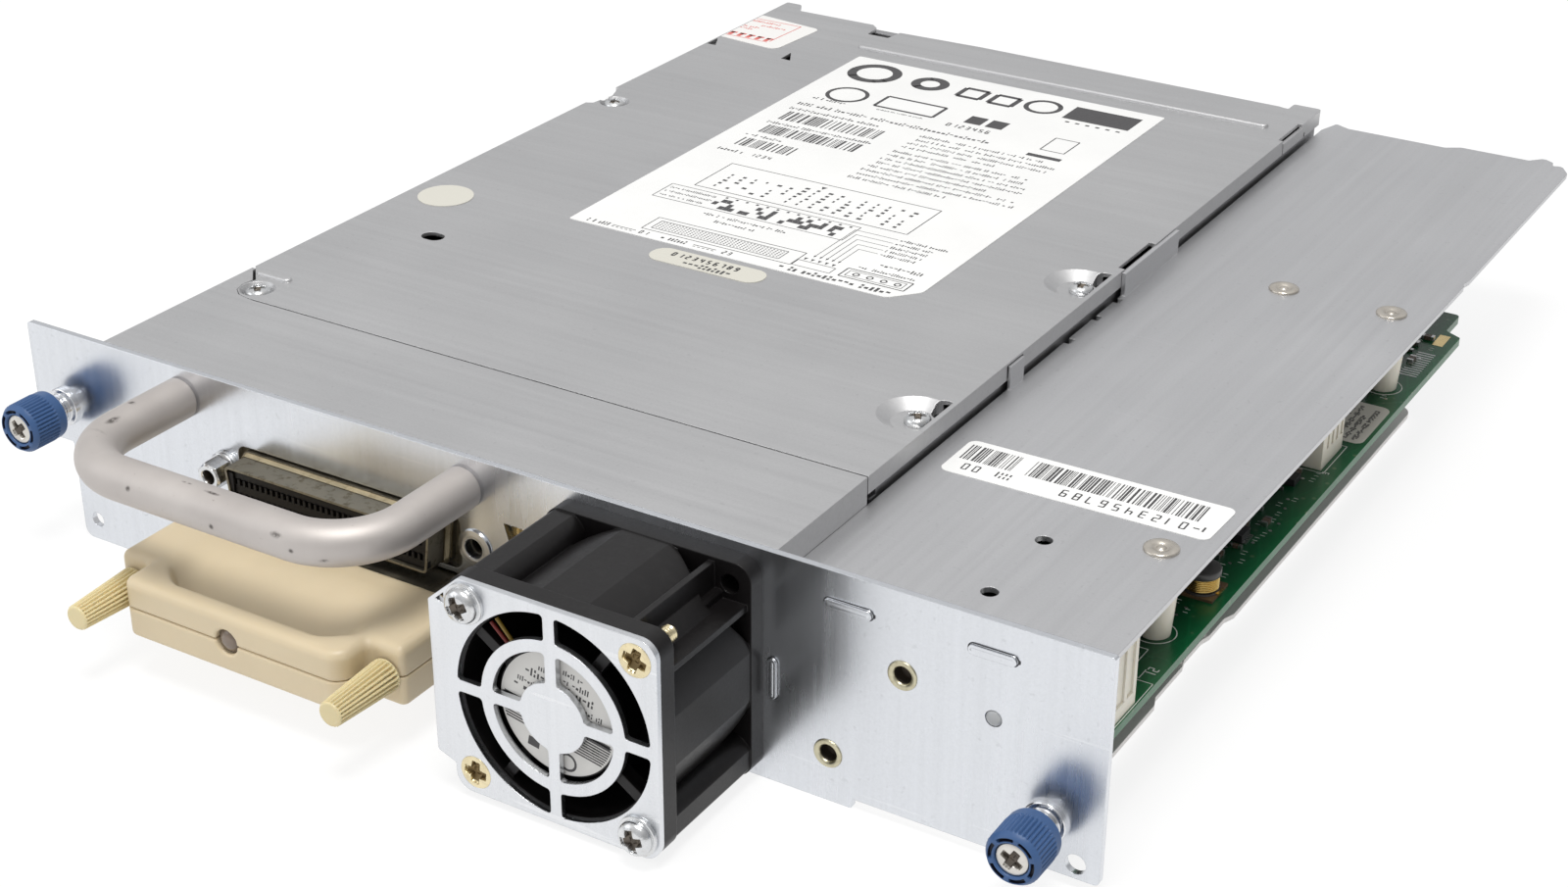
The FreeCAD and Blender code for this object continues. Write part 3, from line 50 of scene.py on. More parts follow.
# ------------------------------------------------------------------ node material helpers
class NB:
    """Small builder for a node material."""
    def __init__(self, name, hide=False):
        self.m = bpy.data.materials.new(name)
        self.m.use_nodes = True
        self.t = self.m.node_tree
        self.t.nodes.clear()
        self.out = self.t.nodes.new("ShaderNodeOutputMaterial")
        self.b = self.t.nodes.new("ShaderNodeBsdfPrincipled")
        self.t.links.new(self.b.outputs[0], self.out.inputs[0])
        self.tc = None

    def node(self, kind, **kw):
        n = self.t.nodes.new(kind)
        for k, v in kw.items():
            setattr(n, k, v)
        return n

    def link(self, a, b):
        self.t.links.new(a, b)

    def setv(self, sock, v):
        if isinstance(v, bpy.types.NodeSocket):
            self.link(v, sock)
        elif isinstance(v, (tuple, list)) and len(v) == 3 and sock.type == "RGBA":
            sock.default_value = (*v, 1.0)
        else:
            sock.default_value = v

    def coord(self):
        if self.tc is None:
            self.tc = self.node("ShaderNodeTexCoord")
        return self.tc.outputs["Object"]

    def mapping(self, scale=(1, 1, 1), rot=(0, 0, 0), loc=(0, 0, 0), vec=None):
        n = self.node("ShaderNodeMapping")
        n.inputs["Scale"].default_value = scale
        n.inputs["Rotation"].default_value = rot
        n.inputs["Location"].default_value = loc
        self.link(vec if vec is not None else self.coord(), n.inputs["Vector"])
        return n.outputs[0]

    def noise(self, scale=100, detail=4, rough=0.5, vec=None, distort=0.0):
        n = self.node("ShaderNodeTexNoise")
        n.inputs["Scale"].default_value = scale
        n.inputs["Detail"].default_value = detail
        n.inputs["Roughness"].default_value = rough
        n.inputs["Distortion"].default_value = distort
        self.link(vec if vec is not None else self.coord(), n.inputs["Vector"])
        return n.outputs["Fac"]

    def voronoi(self, scale=100, feature="F1", vec=None, rand=1.0, out="Distance"):
        n = self.node("ShaderNodeTexVoronoi", feature=feature)
        n.inputs["Scale"].default_value = scale
        n.inputs["Randomness"].default_value = rand
        self.link(vec if vec is not None else self.coord(), n.inputs["Vector"])
        return n.outputs[out]

    def ramp(self, fac, lo, hi, a=0.0, b=1.0, smooth=False):
        n = self.node("ShaderNodeMapRange")
        n.interpolation_type = "SMOOTHSTEP" if smooth else "LINEAR"
        n.clamp = True
        self.link(fac, n.inputs[0])
        n.inputs[1].default_value = lo
        n.inputs[2].default_value = hi
        n.inputs[3].default_value = a
        n.inputs[4].default_value = b
        return n.outputs[0]

    def math(self, op, a, b=None, c=None, clamp=False):
        n = self.node("ShaderNodeMath", operation=op)
        n.use_clamp = clamp
        self.setv(n.inputs[0], a)
        if b is not None:
            self.setv(n.inputs[1], b)
        if c is not None:
            self.setv(n.inputs[2], c)
        return n.outputs[0]

    def mix(self, fac, a, b, blend="MIX"):
        n = self.node("ShaderNodeMix", data_type="RGBA", blend_type=blend)
        self.setv(n.inputs[0], fac)
        self.setv(n.inputs[6], a)
        self.setv(n.inputs[7], b)
        return n.outputs[2]

    def sep(self, vec=None):
        n = self.node("ShaderNodeSeparateXYZ")
        self.link(vec if vec is not None else self.coord(), n.inputs[0])
        return n.outputs

    def bump(self, height, strength=0.1, dist=0.001, normal=None):
        n = self.node("ShaderNodeBump")
        n.inputs["Strength"].default_value = strength
        n.inputs["Distance"].default_value = dist
        self.link(height, n.inputs["Height"])
        if normal is not None:
            self.link(normal, n.inputs["Normal"])
        return n.outputs[0]

    def bevel(self, radius, samples=4):
        n = self.node("ShaderNodeBevel", samples=samples)
        n.inputs["Radius"].default_value = radius
        return n.outputs[0]

    def spot(self, centre, radii, soft=0.6):
        """1 inside an ellipsoid about centre (row metres), falling to 0 at its edge."""
        sub = self.node("ShaderNodeVectorMath", operation="SUBTRACT")
        self.link(self.coord(), sub.inputs[0])
        sub.inputs[1].default_value = tuple(centre)
        div = self.node("ShaderNodeVectorMath", operation="DIVIDE")
        self.link(sub.outputs[0], div.inputs[0])
        div.inputs[1].default_value = tuple(radii)
        ln = self.node("ShaderNodeVectorMath", operation="LENGTH")
        self.link(div.outputs[0], ln.inputs[0])
        return self.ramp(ln.outputs["Value"], 1.0 - soft, 1.0, 1.0, 0.0, smooth=True)

    def done(self, color=None, metallic=None, rough=None, normal=None, coat=None, coat_rough=None, spec=None, sss=None, ior=None, alpha=None, trans=None, aniso=None, emit=None):
        b = self.b
        if color is not None: self.setv(b.inputs["Base Color"], color)
        if metallic is not None: self.setv(b.inputs["Metallic"], metallic)
        if rough is not None: self.setv(b.inputs["Roughness"], rough)
        if normal is not None: self.link(normal, b.inputs["Normal"])
        if coat is not None: self.setv(b.inputs["Coat Weight"], coat)
        if coat_rough is not None: self.setv(b.inputs["Coat Roughness"], coat_rough)
        if spec is not None: self.setv(b.inputs["Specular IOR Level"], spec)
        if sss is not None:
            self.setv(b.inputs["Subsurface Weight"], sss)
            b.inputs["Subsurface Radius"].default_value = (0.0012, 0.0009, 0.0006)
            b.inputs["Subsurface Scale"].default_value = 1.0
        if ior is not None: self.setv(b.inputs["IOR"], ior)
        if trans is not None: self.setv(b.inputs["Transmission Weight"], trans)
        if aniso is not None: self.setv(b.inputs["Anisotropic"], aniso)
        return self.m

MATS = {}

def sheet_metal(name, base, rough, streak_axis="x", grain=0.10, tint=(1.0, 1.0, 1.0), bev=0.00022, smudge=0.05, scratch=0.35, metallic=1.0, big=0.0):
    """Rolled zinc-coated sheet: faint rolling streaks, fine grain, specks, hair scratches and softened edges."""
    n = NB(name)
    st = (14, 700, 700) if streak_axis == "x" else (700, 14, 700) if streak_axis == "y" else (700, 700, 14)
    streak = n.noise(1.0, 3, 0.6, n.mapping(scale=st))
    cloud = n.noise(22, 4, 0.55)
    fine = n.noise(2600, 2, 0.6)
    specks = n.ramp(n.noise(900, 2, 0.5), 0.66, 0.74)
    v = n.math("ADD", n.ramp(streak, 0.25, 0.75, -0.035, 0.035), n.ramp(cloud, 0.3, 0.7, -smudge * 0.5, smudge * 0.5))
    v = n.math("ADD", v, n.ramp(fine, 0.25, 0.75, -0.03, 0.03))
    c0 = tuple(max(0.0, c * t) for c, t in zip(base, tint))
    bright = n.math("ADD", v, 1.0)
    hsv = n.node("ShaderNodeHueSaturation")
    hsv.inputs["Color"].default_value = (*c0, 1)
    n.link(bright, hsv.inputs["Value"])
    col = n.mix(n.math("MULTIPLY", specks, 0.16), hsv.outputs[0], tuple(c * 0.55 for c in c0))
    # hair scratches: thin bands of two stretched, turned noises
    s1 = n.ramp(n.noise(1.0, 1, 0.5, n.mapping(scale=(30, 900, 900), rot=(0, 0, 0.5), loc=(3, 1, 0))), 0.735, 0.765)
    s2 = n.ramp(n.noise(1.0, 1, 0.5, n.mapping(scale=(26, 1100, 900), rot=(0.3, 0.4, -0.9), loc=(1, 7, 2))), 0.745, 0.775)
    scr = n.math("MULTIPLY", n.math("MAXIMUM", s1, s2), scratch)
    col = n.mix(scr, col, tuple(min(1.0, c * 1.35 + 0.05) for c in c0))
    r = n.math("ADD", n.ramp(cloud, 0.3, 0.7, rough - 0.05, rough + 0.05), n.ramp(streak, 0.2, 0.8, -0.03, 0.03))
    r = n.math("ADD", r, n.math("MULTIPLY", scr, -0.12))
    h = n.math("ADD", n.math("MULTIPLY", fine, 0.6), n.math("MULTIPLY", streak, 0.4))
    nb = n.bevel(bev) if bev else None
    nrm = n.bump(h, grain, 0.00002, nb)
    if big:
        nrm = n.bump(n.noise(30, 2, 0.5), big, 0.0012, nrm)
    m = n.done(col, metallic, r, nrm)
    MATS[name] = m
    return m

def screw_metal(name, base, rough, stain=(0.25, 0.17, 0.08), amount=0.25, bev=0.00012):
    n = NB(name)
    cloud = n.noise(260, 4, 0.6)
    fine = n.noise(2600, 3, 0.6)
    dirt = n.ramp(n.noise(500, 5, 0.7), 0.52, 0.72, 0.0, amount)
    col = n.mix(n.ramp(cloud, 0.3, 0.7), tuple(c * 0.86 for c in base), tuple(min(1, c * 1.08) for c in base))
    col = n.mix(dirt, col, stain)
    r = n.math("ADD", n.ramp(cloud, 0.3, 0.7, rough - 0.06, rough + 0.08), n.math("MULTIPLY", dirt, 0.5))
    nrm = n.bump(fine, 0.25, 0.00003, n.bevel(bev) if bev else None)
    MATS[name] = n.done(col, 1.0, r, nrm)
    return MATS[name]

def plastic(name, base, rough, grain=0.25, gscale=1800, var=0.08, sss=None, coat=None, dust=0.0, dust_col=(0.5, 0.5, 0.48), bev=0.0002, spec=0.5):
    n = NB(name)
    cloud = n.noise(60, 4, 0.6)
    tex = n.noise(gscale, 3, 0.6)
    col = n.mix(n.ramp(cloud, 0.3, 0.7), tuple(c * (1 - var) for c in base), tuple(min(1, c * (1 + var)) for c in base))
    if dust:
        d = n.ramp(n.noise(420, 6, 0.72), 0.5, 0.8, 0.0, dust)
        up = n.sep(n.node("ShaderNodeNewGeometry").outputs["Normal"])[2]
        d = n.math("MULTIPLY", d, n.ramp(up, -0.2, 0.9, 0.25, 1.0))
        col = n.mix(d, col, dust_col)
    r = n.math("ADD", n.ramp(cloud, 0.3, 0.7, rough - 0.05, rough + 0.05), n.ramp(tex, 0.3, 0.7, -0.04, 0.04))
    nrm = n.bump(tex, grain, 0.00003, n.bevel(bev) if bev else None)
    MATS[name] = n.done(col, 0.0, r, nrm, sss=sss, coat=coat, coat_rough=0.12 if coat else None, spec=spec)
    return MATS[name]

# ------------------------------------------------------------------ materials
sheet_metal("drive_zinc", (0.580, 0.580, 0.585), 0.47, "x", grain=0.10, smudge=0.02, scratch=0.05)
sheet_metal("sled_zinc", (0.600, 0.602, 0.613), 0.46, "y", grain=0.10, smudge=0.02, scratch=0.05)
sheet_metal("panel_zinc", (0.70, 0.72, 0.755), 0.25, "z", grain=0.04, smudge=0.03, scratch=0.12, big=0.05)
sheet_metal("tray_zinc", (0.80, 0.78, 0.76), 0.60, "y", grain=0.10, smudge=0.02, scratch=0.05, metallic=0.12)
sheet_metal("guard_zinc", (0.72, 0.735, 0.76), 0.27, "z", grain=0.10, smudge=0.05, scratch=0.2)
sheet_metal("cast_alloy", (0.42, 0.42, 0.43), 0.5, "x", grain=0.4, bev=0.0003)
sheet_metal("tray_steel", (0.45, 0.45, 0.45), 0.38, "x")
sheet_metal("head_alloy", (0.5, 0.5, 0.52), 0.3, "x")
screw_metal("screw_steel", (0.74, 0.75, 0.77), 0.17, amount=0.12)
screw_metal("screw_zinc", (0.70, 0.71, 0.72), 0.24, amount=0.25)
screw_metal("screw_yellow", (0.80, 0.70, 0.46), 0.27, amount=0.3)
screw_metal("clinch_steel", (0.62, 0.58, 0.42), 0.35, amount=0.35)
screw_metal("shell_gold", (0.22, 0.20, 0.155), 0.44, stain=(0.10, 0.08, 0.05), amount=0.75)
screw_metal("contact_gold", (0.85, 0.66, 0.32), 0.25, amount=0.1, bev=0)
screw_metal("screw_nickel", (0.66, 0.64, 0.60), 0.34, amount=0.15, bev=0)
screw_metal("rivet_nickel", (0.60, 0.56, 0.50), 0.28, amount=0.15, bev=0)
# painted shade: dark materials laid on the deep faces of screw recesses, bores and holes, where shade falls
screw_metal("recess_painted_shade", (0.16, 0.14, 0.12), 0.45, amount=0.3, bev=0)
screw_metal("recess_brown_painted_shade", (0.22, 0.16, 0.08), 0.42, amount=0.4, bev=0)
screw_metal("lip_gold", (0.50, 0.42, 0.27), 0.38, stain=(0.16, 0.12, 0.07), amount=0.5, bev=0)
screw_metal("copper_wire", (0.80, 0.58, 0.20), 0.24, amount=0.1, bev=0)
screw_metal("solder", (0.62, 0.62, 0.62), 0.3, amount=0.15, bev=0)
plastic("fan_black", (0.0058, 0.0050, 0.0052), 0.36, grain=0.3, dust=0.03, dust_col=(0.20, 0.19, 0.18), bev=0.0003, spec=0.30)
plastic("rotor_black", (0.005, 0.005, 0.0055), 0.4, bev=0.0002, spec=0.2)
plastic("insert_black", (0.006, 0.005, 0.005), 0.45, bev=0.0001, spec=0.2)
plastic("chip_black", (0.02, 0.02, 0.021), 0.45, grain=0.4, bev=0.0001)
plastic("term_beige", (0.63, 0.525, 0.355), 0.40, grain=0.16, gscale=1400, var=0.03, sss=0.12, bev=0)
plastic("term_thumb", (0.68, 0.58, 0.335), 0.38, grain=0.12, gscale=1400, var=0.04, sss=0.15, bev=0)
plastic("nylon_white", (0.74, 0.70, 0.60), 0.38, grain=0.1, var=0.04, sss=0.15, bev=0.0002)
plastic("knob_blue", (0.042, 0.096, 0.225), 0.42, grain=0.15, gscale=2400, var=0.06, bev=0, spec=0.35)
plastic("door_black", (0.02, 0.02, 0.022), 0.4)
plastic("reel_white", (0.6, 0.6, 0.58), 0.4)
plastic("inductor_black", (0.03, 0.028, 0.026), 0.5, grain=0.5)
plastic("light_pipe_grey", (0.36, 0.37, 0.38), 0.18, grain=0.02, sss=0.1, bev=0)
plastic("lens_clear", (0.20, 0.155, 0.12), 0.08, grain=0.02, bev=0)
plastic("hole_grey", (0.085, 0.085, 0.10), 0.5, bev=0)
plastic("lead_red", (0.16, 0.010, 0.006), 0.4, bev=0)
plastic("lead_yellow", (0.22, 0.14, 0.012), 0.4, bev=0)
plastic("label_white", (0.80, 0.80, 0.79), 0.42, grain=0.08, gscale=900, var=0.02, bev=0)
n = NB("label_tint")      # the pill is older and browner than the sticker in the corner
tone = n.ramp(n.sep()[1], 0.04, 0.06)
n_c = n.mix(tone, (0.60, 0.585, 0.52), (0.80, 0.79, 0.77))
MATS["label_tint"] = n.done(n_c, 0.0, 0.45, n.bump(n.noise(900, 3, 0.6), 0.08, 0.00003))
plastic("fan_label_white", (0.62, 0.61, 0.585), 0.4, grain=0.08, gscale=900, var=0.04, bev=0)
plastic("ink", (0.045, 0.043, 0.045), 0.45, grain=0.05, bev=0)
plastic("ink_red", (0.62, 0.13, 0.11), 0.45, grain=0.05, bev=0)
plastic("silk_white", (0.70, 0.72, 0.68), 0.5, grain=0.05, bev=0)
plastic("chip_brown", (0.10, 0.07, 0.05), 0.45, grain=0.3, bev=0)
plastic("ferrite", (0.05, 0.048, 0.047), 0.34, grain=0.3, bev=0)
plastic("inductor_base", (0.12, 0.075, 0.04), 0.4, grain=0.2, bev=0)
# painted shade: dark material for the lance gaps of the panel
plastic("slot_painted_shade", (0.03, 0.03, 0.032), 0.6, grain=0.1, bev=0)
# painted shade: darker blue for the bottoms of the knob's arc slots
plastic("knob_slot_painted_shade", (0.012, 0.014, 0.03), 0.5, grain=0.1, bev=0)

def pcb(name, base):
    n = NB(name)
    tracks = n.ramp(n.voronoi(260, "DISTANCE_TO_EDGE", rand=0.0, vec=n.mapping(scale=(1, 0.35, 1), rot=(0, 0, 0.785))), 0.02, 0.06, 1, 0)
    cloud = n.noise(30, 3, 0.5)
    vias = n.ramp(n.voronoi(330, rand=0.9), 0.10, 0.16, 1, 0)
    col = n.mix(n.math("MULTIPLY", tracks, 0.35), base, tuple(c * 1.6 for c in base))
    col = n.mix(n.math("MULTIPLY", vias, 0.35), col, (0.30, 0.34, 0.22))
    col = n.mix(n.ramp(cloud, 0.3, 0.7, 0, 0.3), col, tuple(c * 0.6 for c in base))
    # painted shade: the solder mask is darkened further in from the open edge, where the cover shades the board, and
    # keeps its brighter green along the edge
    rim = n.ramp(n.sep()[0], W(-13.0, 0, 0).x, W(-5.5, 0, 0).x, smooth=True)
    col = n.mix(rim, n.mix(0.80, col, (0.0012, 0.010, 0.005)), col)
    h = n.math("ADD", n.math("MULTIPLY", tracks, 0.6), n.math("MULTIPLY", n.noise(700, 3, 0.6), 0.4))
    MATS[name] = n.done(col, 0.0, n.ramp(cloud, 0.3, 0.7, 0.22, 0.34), n.bump(h, 0.25, 0.00003), coat=0.12, coat_rough=0.3, spec=0.3)
    return MATS[name]
pcb("pcb_green", (0.003, 0.105, 0.034))
pcb("pcb_dark", (0.004, 0.09, 0.035))

def handle_material():
    n = NB("handle_alloy")
    cloud = n.noise(60, 4, 0.6)
    fine = n.noise(2200, 3, 0.6)
    drawn = n.noise(1.0, 2, 0.5, n.mapping(scale=(60, 1500, 1500)))
    base = n.mix(n.ramp(cloud, 0.3, 0.7), (0.475, 0.44, 0.42), (0.565, 0.53, 0.505))
    scuff = None
    spots = [((-182.6, -22.9, 39.0), (1.6, 0.5, 0.6)), ((-183.4, -18.5, 39.4), (0.6, 1.6, 0.6)), ((-185.2, -12.0, 39.6), (0.7, 0.5, 0.7)),
             ((-177.5, -29.5, 38.4), (1.3, 0.4, 0.4)), ((-166.5, -32.3, 37.0), (0.5, 0.4, 0.5)), ((-147.8, -32.5, 35.4), (0.5, 0.4, 0.5)),
             ((-134.0, -31.8, 37.6), (1.2, 0.6, 0.5)), ((-130.8, -32.2, 35.8), (0.5, 0.4, 0.4)), ((-150.0, -29.4, 39.6), (1.6, 0.3, 0.3)), ((-156.0, -29.0, 39.7), (1.0, 0.25, 0.3)),
             ((-126.5, -30.2, 34.6), (1.6, 0.5, 0.4))]
    for c, r in spots:
        s = n.spot(W(*c), tuple(v * 1.45 / 1000.0 for v in r), 0.75)
        scuff = s if scuff is None else n.math("MAXIMUM", scuff, s)
    scuff = n.math("MULTIPLY", scuff, n.ramp(n.noise(1100, 4, 0.7), 0.34, 0.54))
    col = n.mix(n.math("MULTIPLY", scuff, 0.85), base, (0.07, 0.06, 0.055))
    pits = n.ramp(n.noise(800, 3, 0.6), 0.70, 0.76, 0, 0.5)
    col = n.mix(pits, col, (0.25, 0.21, 0.19))
    r = n.math("ADD", n.ramp(cloud, 0.3, 0.7, 0.50, 0.58), n.math("MULTIPLY", scuff, 0.2))
    nrm = n.bump(n.math("ADD", n.math("MULTIPLY", fine, 0.6), n.math("MULTIPLY", drawn, 0.4)), 0.35, 0.00004)
    MATS["handle_alloy"] = n.done(col, 0.62, r, nrm, spec=0.5)
handle_material()

NODE_MATS = {
    "faceplate": "panel_zinc", "tray_floor": "tray_zinc", "bay_cover": "sled_zinc", "bay_cover_rivets": "screw_zinc", "pcb_standoffs": "nylon_white",
    "interface_board": "pcb_green", "board_chips": "chip_black", "inductor": "inductor_black", "connector_front": "nylon_white", "connector_mid": "nylon_white",
    "handle": "handle_alloy", "handle_screws": "screw_zinc", "clinch_nuts": "clinch_steel", "light_pipe": "light_pipe_grey",
    "knob_left": "knob_blue", "knob_right": "knob_blue", "captive_screw_left": "screw_steel", "captive_screw_right": "screw_steel",
    "captive_clip_left": "screw_steel", "captive_clip_right": "screw_steel", "captive_ferrules": "screw_steel",
    "fan_frame": "fan_black", "fan_label": "fan_label_white", "fan_rotor": "rotor_black", "fan_guard": "guard_zinc", "fan_pan_screws": "screw_zinc",
    "fan_flush_screws": "screw_yellow", "fan_leads": "lead_red", "hd68_shells": "shell_gold", "hd68_inserts": "insert_black", "hd68_contacts": "contact_gold",
    "jackscrews": "screw_zinc", "connector_board": "pcb_dark", "id_header": "insert_black", "term_shell_top": "term_beige", "term_shell_bottom": "term_beige",
    "term_plug": "shell_gold", "term_board": "pcb_dark", "term_lens": "lens_clear", "term_screw_left": "term_thumb", "term_screw_right": "term_thumb",
    "drive_top_cover": "drive_zinc", "strip_cover": "drive_zinc", "cover_screws": "screw_zinc", "drive_screws": "screw_zinc", "drive_bottom_cover": "drive_zinc",
    "drive_chassis": "cast_alloy", "drive_board": "pcb_dark", "reel_motors": "cast_alloy", "takeup_reel": "reel_white", "cartridge_hub": "chip_black",
    "head_assembly": "head_alloy", "head_actuator": "cast_alloy", "guide_roller_left": "reel_white", "guide_roller_right": "reel_white",
    "loader_tray": "tray_steel", "cartridge_door": "door_black", "label_main": "label_white", "label_barcode": "label_white", "labels_small": "label_tint"}
for name, obj in NODES.items():
    obj.data.materials.clear()
    obj.data.materials.append(MATS[NODE_MATS[name]])

# ------------------------------------------------------------------ mesh helpers
BODY = {n: b for b, ms in frame["record"]["behaviour"]["bodies"].items() for n in ms}

class Mesh:
    """Vertices in working millimetres, faces and their material numbers."""
    def __init__(self):
        self.v, self.f, self.m = [], [], []

    def add(self, verts, faces, mat=0):
        o = len(self.v)
        self.v += [tuple(map(float, p)) for p in verts]
        self.f += [tuple(i + o for i in f) for f in faces]
        self.m += [mat] * len(faces) if isinstance(mat, int) else list(mat)

    def box(self, x0, x1, y0, y1, z0, z1, mat=0):
        v = [(x, y, z) for z in (z0, z1) for y in (y0, y1) for x in (x0, x1)]
        self.add(v, [(0, 2, 3, 1), (4, 5, 7, 6), (0, 1, 5, 4), (2, 6, 7, 3), (0, 4, 6, 2), (1, 3, 7, 5)], mat)

    def prism(self, pts, lo, hi, axis="z", mat=0):
        """Closed prism over a convex or simple outline: axis z takes (x, y), axis y takes (x, z), axis x takes (y, z)."""
        n = len(pts)
        to3 = {"z": lambda p, t: (p[0], p[1], t), "y": lambda p, t: (p[0], t, p[1]), "x": lambda p, t: (t, p[0], p[1])}[axis]
        v = [to3(p, lo) for p in pts] + [to3(p, hi) for p in pts]
        f = [tuple(range(n)), tuple(range(2 * n - 1, n - 1, -1))] + [(i, (i + 1) % n, n + (i + 1) % n, n + i) for i in range(n)]
        self.add(v, f, mat)

    def lathe(self, o, axis, sign, prof, n=96, mod=None, mat=0, matf=None, closed=False):
        """Turned shape: prof is (radius, height) from one end to the other, height along the axis times sign from o."""
        rings, verts, faces, mats = [], [], [], []
        for i, (r, t) in enumerate(prof):
            if r <= 1e-9:
                verts.append(self._pt(o, axis, sign, 0, 0, t))
                rings.append([len(verts) - 1] * n)
                continue
            ring = []
            for k in range(n):
                th = 2 * pi * k / n
                rr, tt = mod(th, r, t, i) if mod else (r, t)
                verts.append(self._pt(o, axis, sign, rr * cos(th), rr * sin(th), tt))
                ring.append(len(verts) - 1)
            rings.append(ring)
        pairs = list(zip(range(len(rings) - 1), range(1, len(rings))))
        if closed:
            pairs.append((len(rings) - 1, 0))
        for a, b in pairs:
            A, B = rings[a], rings[b]
            for k in range(n):
                q = [A[k], A[(k + 1) % n], B[(k + 1) % n], B[k]]
                q = [x for j, x in enumerate(q) if x != q[j - 1]]
                if len(q) >= 3:
                    faces.append(tuple(q))
                    mats.append(matf(2 * pi * (k + 0.5) / n, 0.5 * (prof[a][0] + prof[b][0]), a) if matf else mat)
        self.add(verts, faces, mats)

    @staticmethod
    def _pt(o, axis, sign, u, v, t):
        x, y, z = o
        if axis == "y":
            return (x + u, y + sign * t, z + v)
        if axis == "z":
            return (x + u, y + v, z + sign * t)
        return (x + sign * t, y + u, z + v)

def piece(name, M, mats, body, nodes=(), angle=32, wn=False):
    me = bpy.data.meshes.new(name)
    me.from_pydata([tuple(W(*p)) for p in M.v], [], M.f)
    ob = bpy.data.objects.new(name, me)
    bpy.context.scene.collection.objects.link(ob)
    for m in ([mats] if isinstance(mats, str) else mats):
        me.materials.append(MATS[m])
    me.polygons.foreach_set("material_index", M.m)
    bm = bmesh.new()
    bm.from_mesh(me)
    bmesh.ops.remove_doubles(bm, verts=bm.verts, dist=1e-7)
    bmesh.ops.recalc_face_normals(bm, faces=bm.faces)
    bm.to_mesh(me)
    bm.free()
    me.shade_smooth()
    me.set_sharp_from_angle(angle=radians(angle))
    if wn:
        w = ob.modifiers.new("weighted", "WEIGHTED_NORMAL")
        w.keep_sharp = True
    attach(ob, body)
    if nodes:
        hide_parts(*nodes)
    return ob

def surface_nets(V, org, h):
    """Smooth closed skin of the region where V < 0, sampled on a grid of step h from org."""
    nx, ny, nz = V.shape
    cs = (nx - 1, ny - 1, nz - 1)
    cnt = np.zeros(cs)
    pos = np.zeros(cs + (3,))
    cr = []
    for ax in range(3):
        s0 = [slice(None)] * 3; s1 = [slice(None)] * 3
        s0[ax] = slice(0, -1); s1[ax] = slice(1, None)
        a, b = V[tuple(s0)], V[tuple(s1)]
        c = (a < 0) != (b < 0)
        t = np.where(c, a / np.where(c, a - b, 1), 0)
        cr.append((c, a < 0))
        o1, o2 = [k for k in range(3) if k != ax]
        for d1 in (0, 1):
            for d2 in (0, 1):
                sl = [slice(None)] * 3
                sl[o1] = slice(d1, d1 + cs[o1]); sl[o2] = slice(d2, d2 + cs[o2])
                cc, tt = c[tuple(sl)], t[tuple(sl)]
                cnt += cc
                pos[..., ax] += np.where(cc, tt, 0)
                pos[..., o1] += np.where(cc, d1, 0)
                pos[..., o2] += np.where(cc, d2, 0)
    m = cnt > 0
    idx = np.full(cs, -1)
    idx[m] = np.arange(int(m.sum()))
    P = np.array(org) + h * (np.argwhere(m) + pos[m] / cnt[m][:, None])
    F = []
    for ax in range(3):
        c, neg = cr[ax]
        o1, o2 = [(1, 2), (2, 0), (0, 1)][ax]
        ijk = np.argwhere(c)
        ok = (ijk[:, o1] > 0) & (ijk[:, o2] > 0) & (ijk[:, o1] < cs[o1]) & (ijk[:, o2] < cs[o2])
        ijk = ijk[ok]
        e1 = np.zeros(3, int); e1[o1] = 1
        e2 = np.zeros(3, int); e2[o2] = 1
        q = [idx[tuple((ijk - d).T)] for d in (e1 + e2, e2, 0 * e1, e1)]
        q = np.stack(q, 1)
        ng = neg[tuple(ijk.T)]
        q[~ng] = q[~ng][:, ::-1]
        F.append(q)
    return P, np.concatenate(F)

def sstep(x):
    x = min(1.0, max(0.0, x))
    return x * x * (3 - 2 * x)

def cross_depth(r, th, w, L, D, turn):
    """Depth of a Phillips recess at a polar place: four tapering arms round a deep middle."""
    p, q = r * cos(th - turn), r * sin(th - turn)
    out = 0.0
    for s, t in ((abs(p), abs(q)), (abs(q), abs(p))):
        if s > L + 0.05:
            continue
        wid = w * 0.5 * (1.12 - 0.22 * s / L)
        e = sstep((wid - t) / 0.11 + 0.5) * sstep((L - s) / 0.14 + 0.5)
        out = max(out, e * D * (1.0 - 0.62 * (s / L) ** 1.6))
    return max(out, D * 1.08 * sstep(1.25 - r / (w * 0.72)) if r < w else 0.0)

def screw_head(M, o, axis, sign, dome, skirt, w, L, D, turn, n=112, mat=0, dark=1):
    """Head and shank of a cross-recess screw. dome is (radius, height) from the centre out, skirt goes on from its rim."""
    dr, dh = zip(*dome)
    st = [0.0] + list(np.linspace(0.08, L * 1.06, 30))
    st += [r for r in dr if r > st[-1] + 0.03]
    prof = [(r, float(np.interp(r, dr, dh))) for r in st] + list(skirt)
    k = len(st)
    def mod(th, r, t, i):
        return (r, t - (cross_depth(r, th, w, L, D, turn) if i < k else 0.0))
    # painted shade: the deep faces of the cross recess take the dark material
    def matf(th, r, i):
        return dark if i < k and cross_depth(r, th, w, L, D, turn) > 0.45 * D else mat
    M.lathe(o, axis, sign, prof, n, mod, matf=matf)

def thread(r0, r1, a, b, pitch):
    """Profile of a thread's ridges, from height a down to b."""
    out, t, up = [], a, False
    while t > b:
        out.append((r1 if up else r0, t))
        t -= pitch / 2
        up = not up
    return out

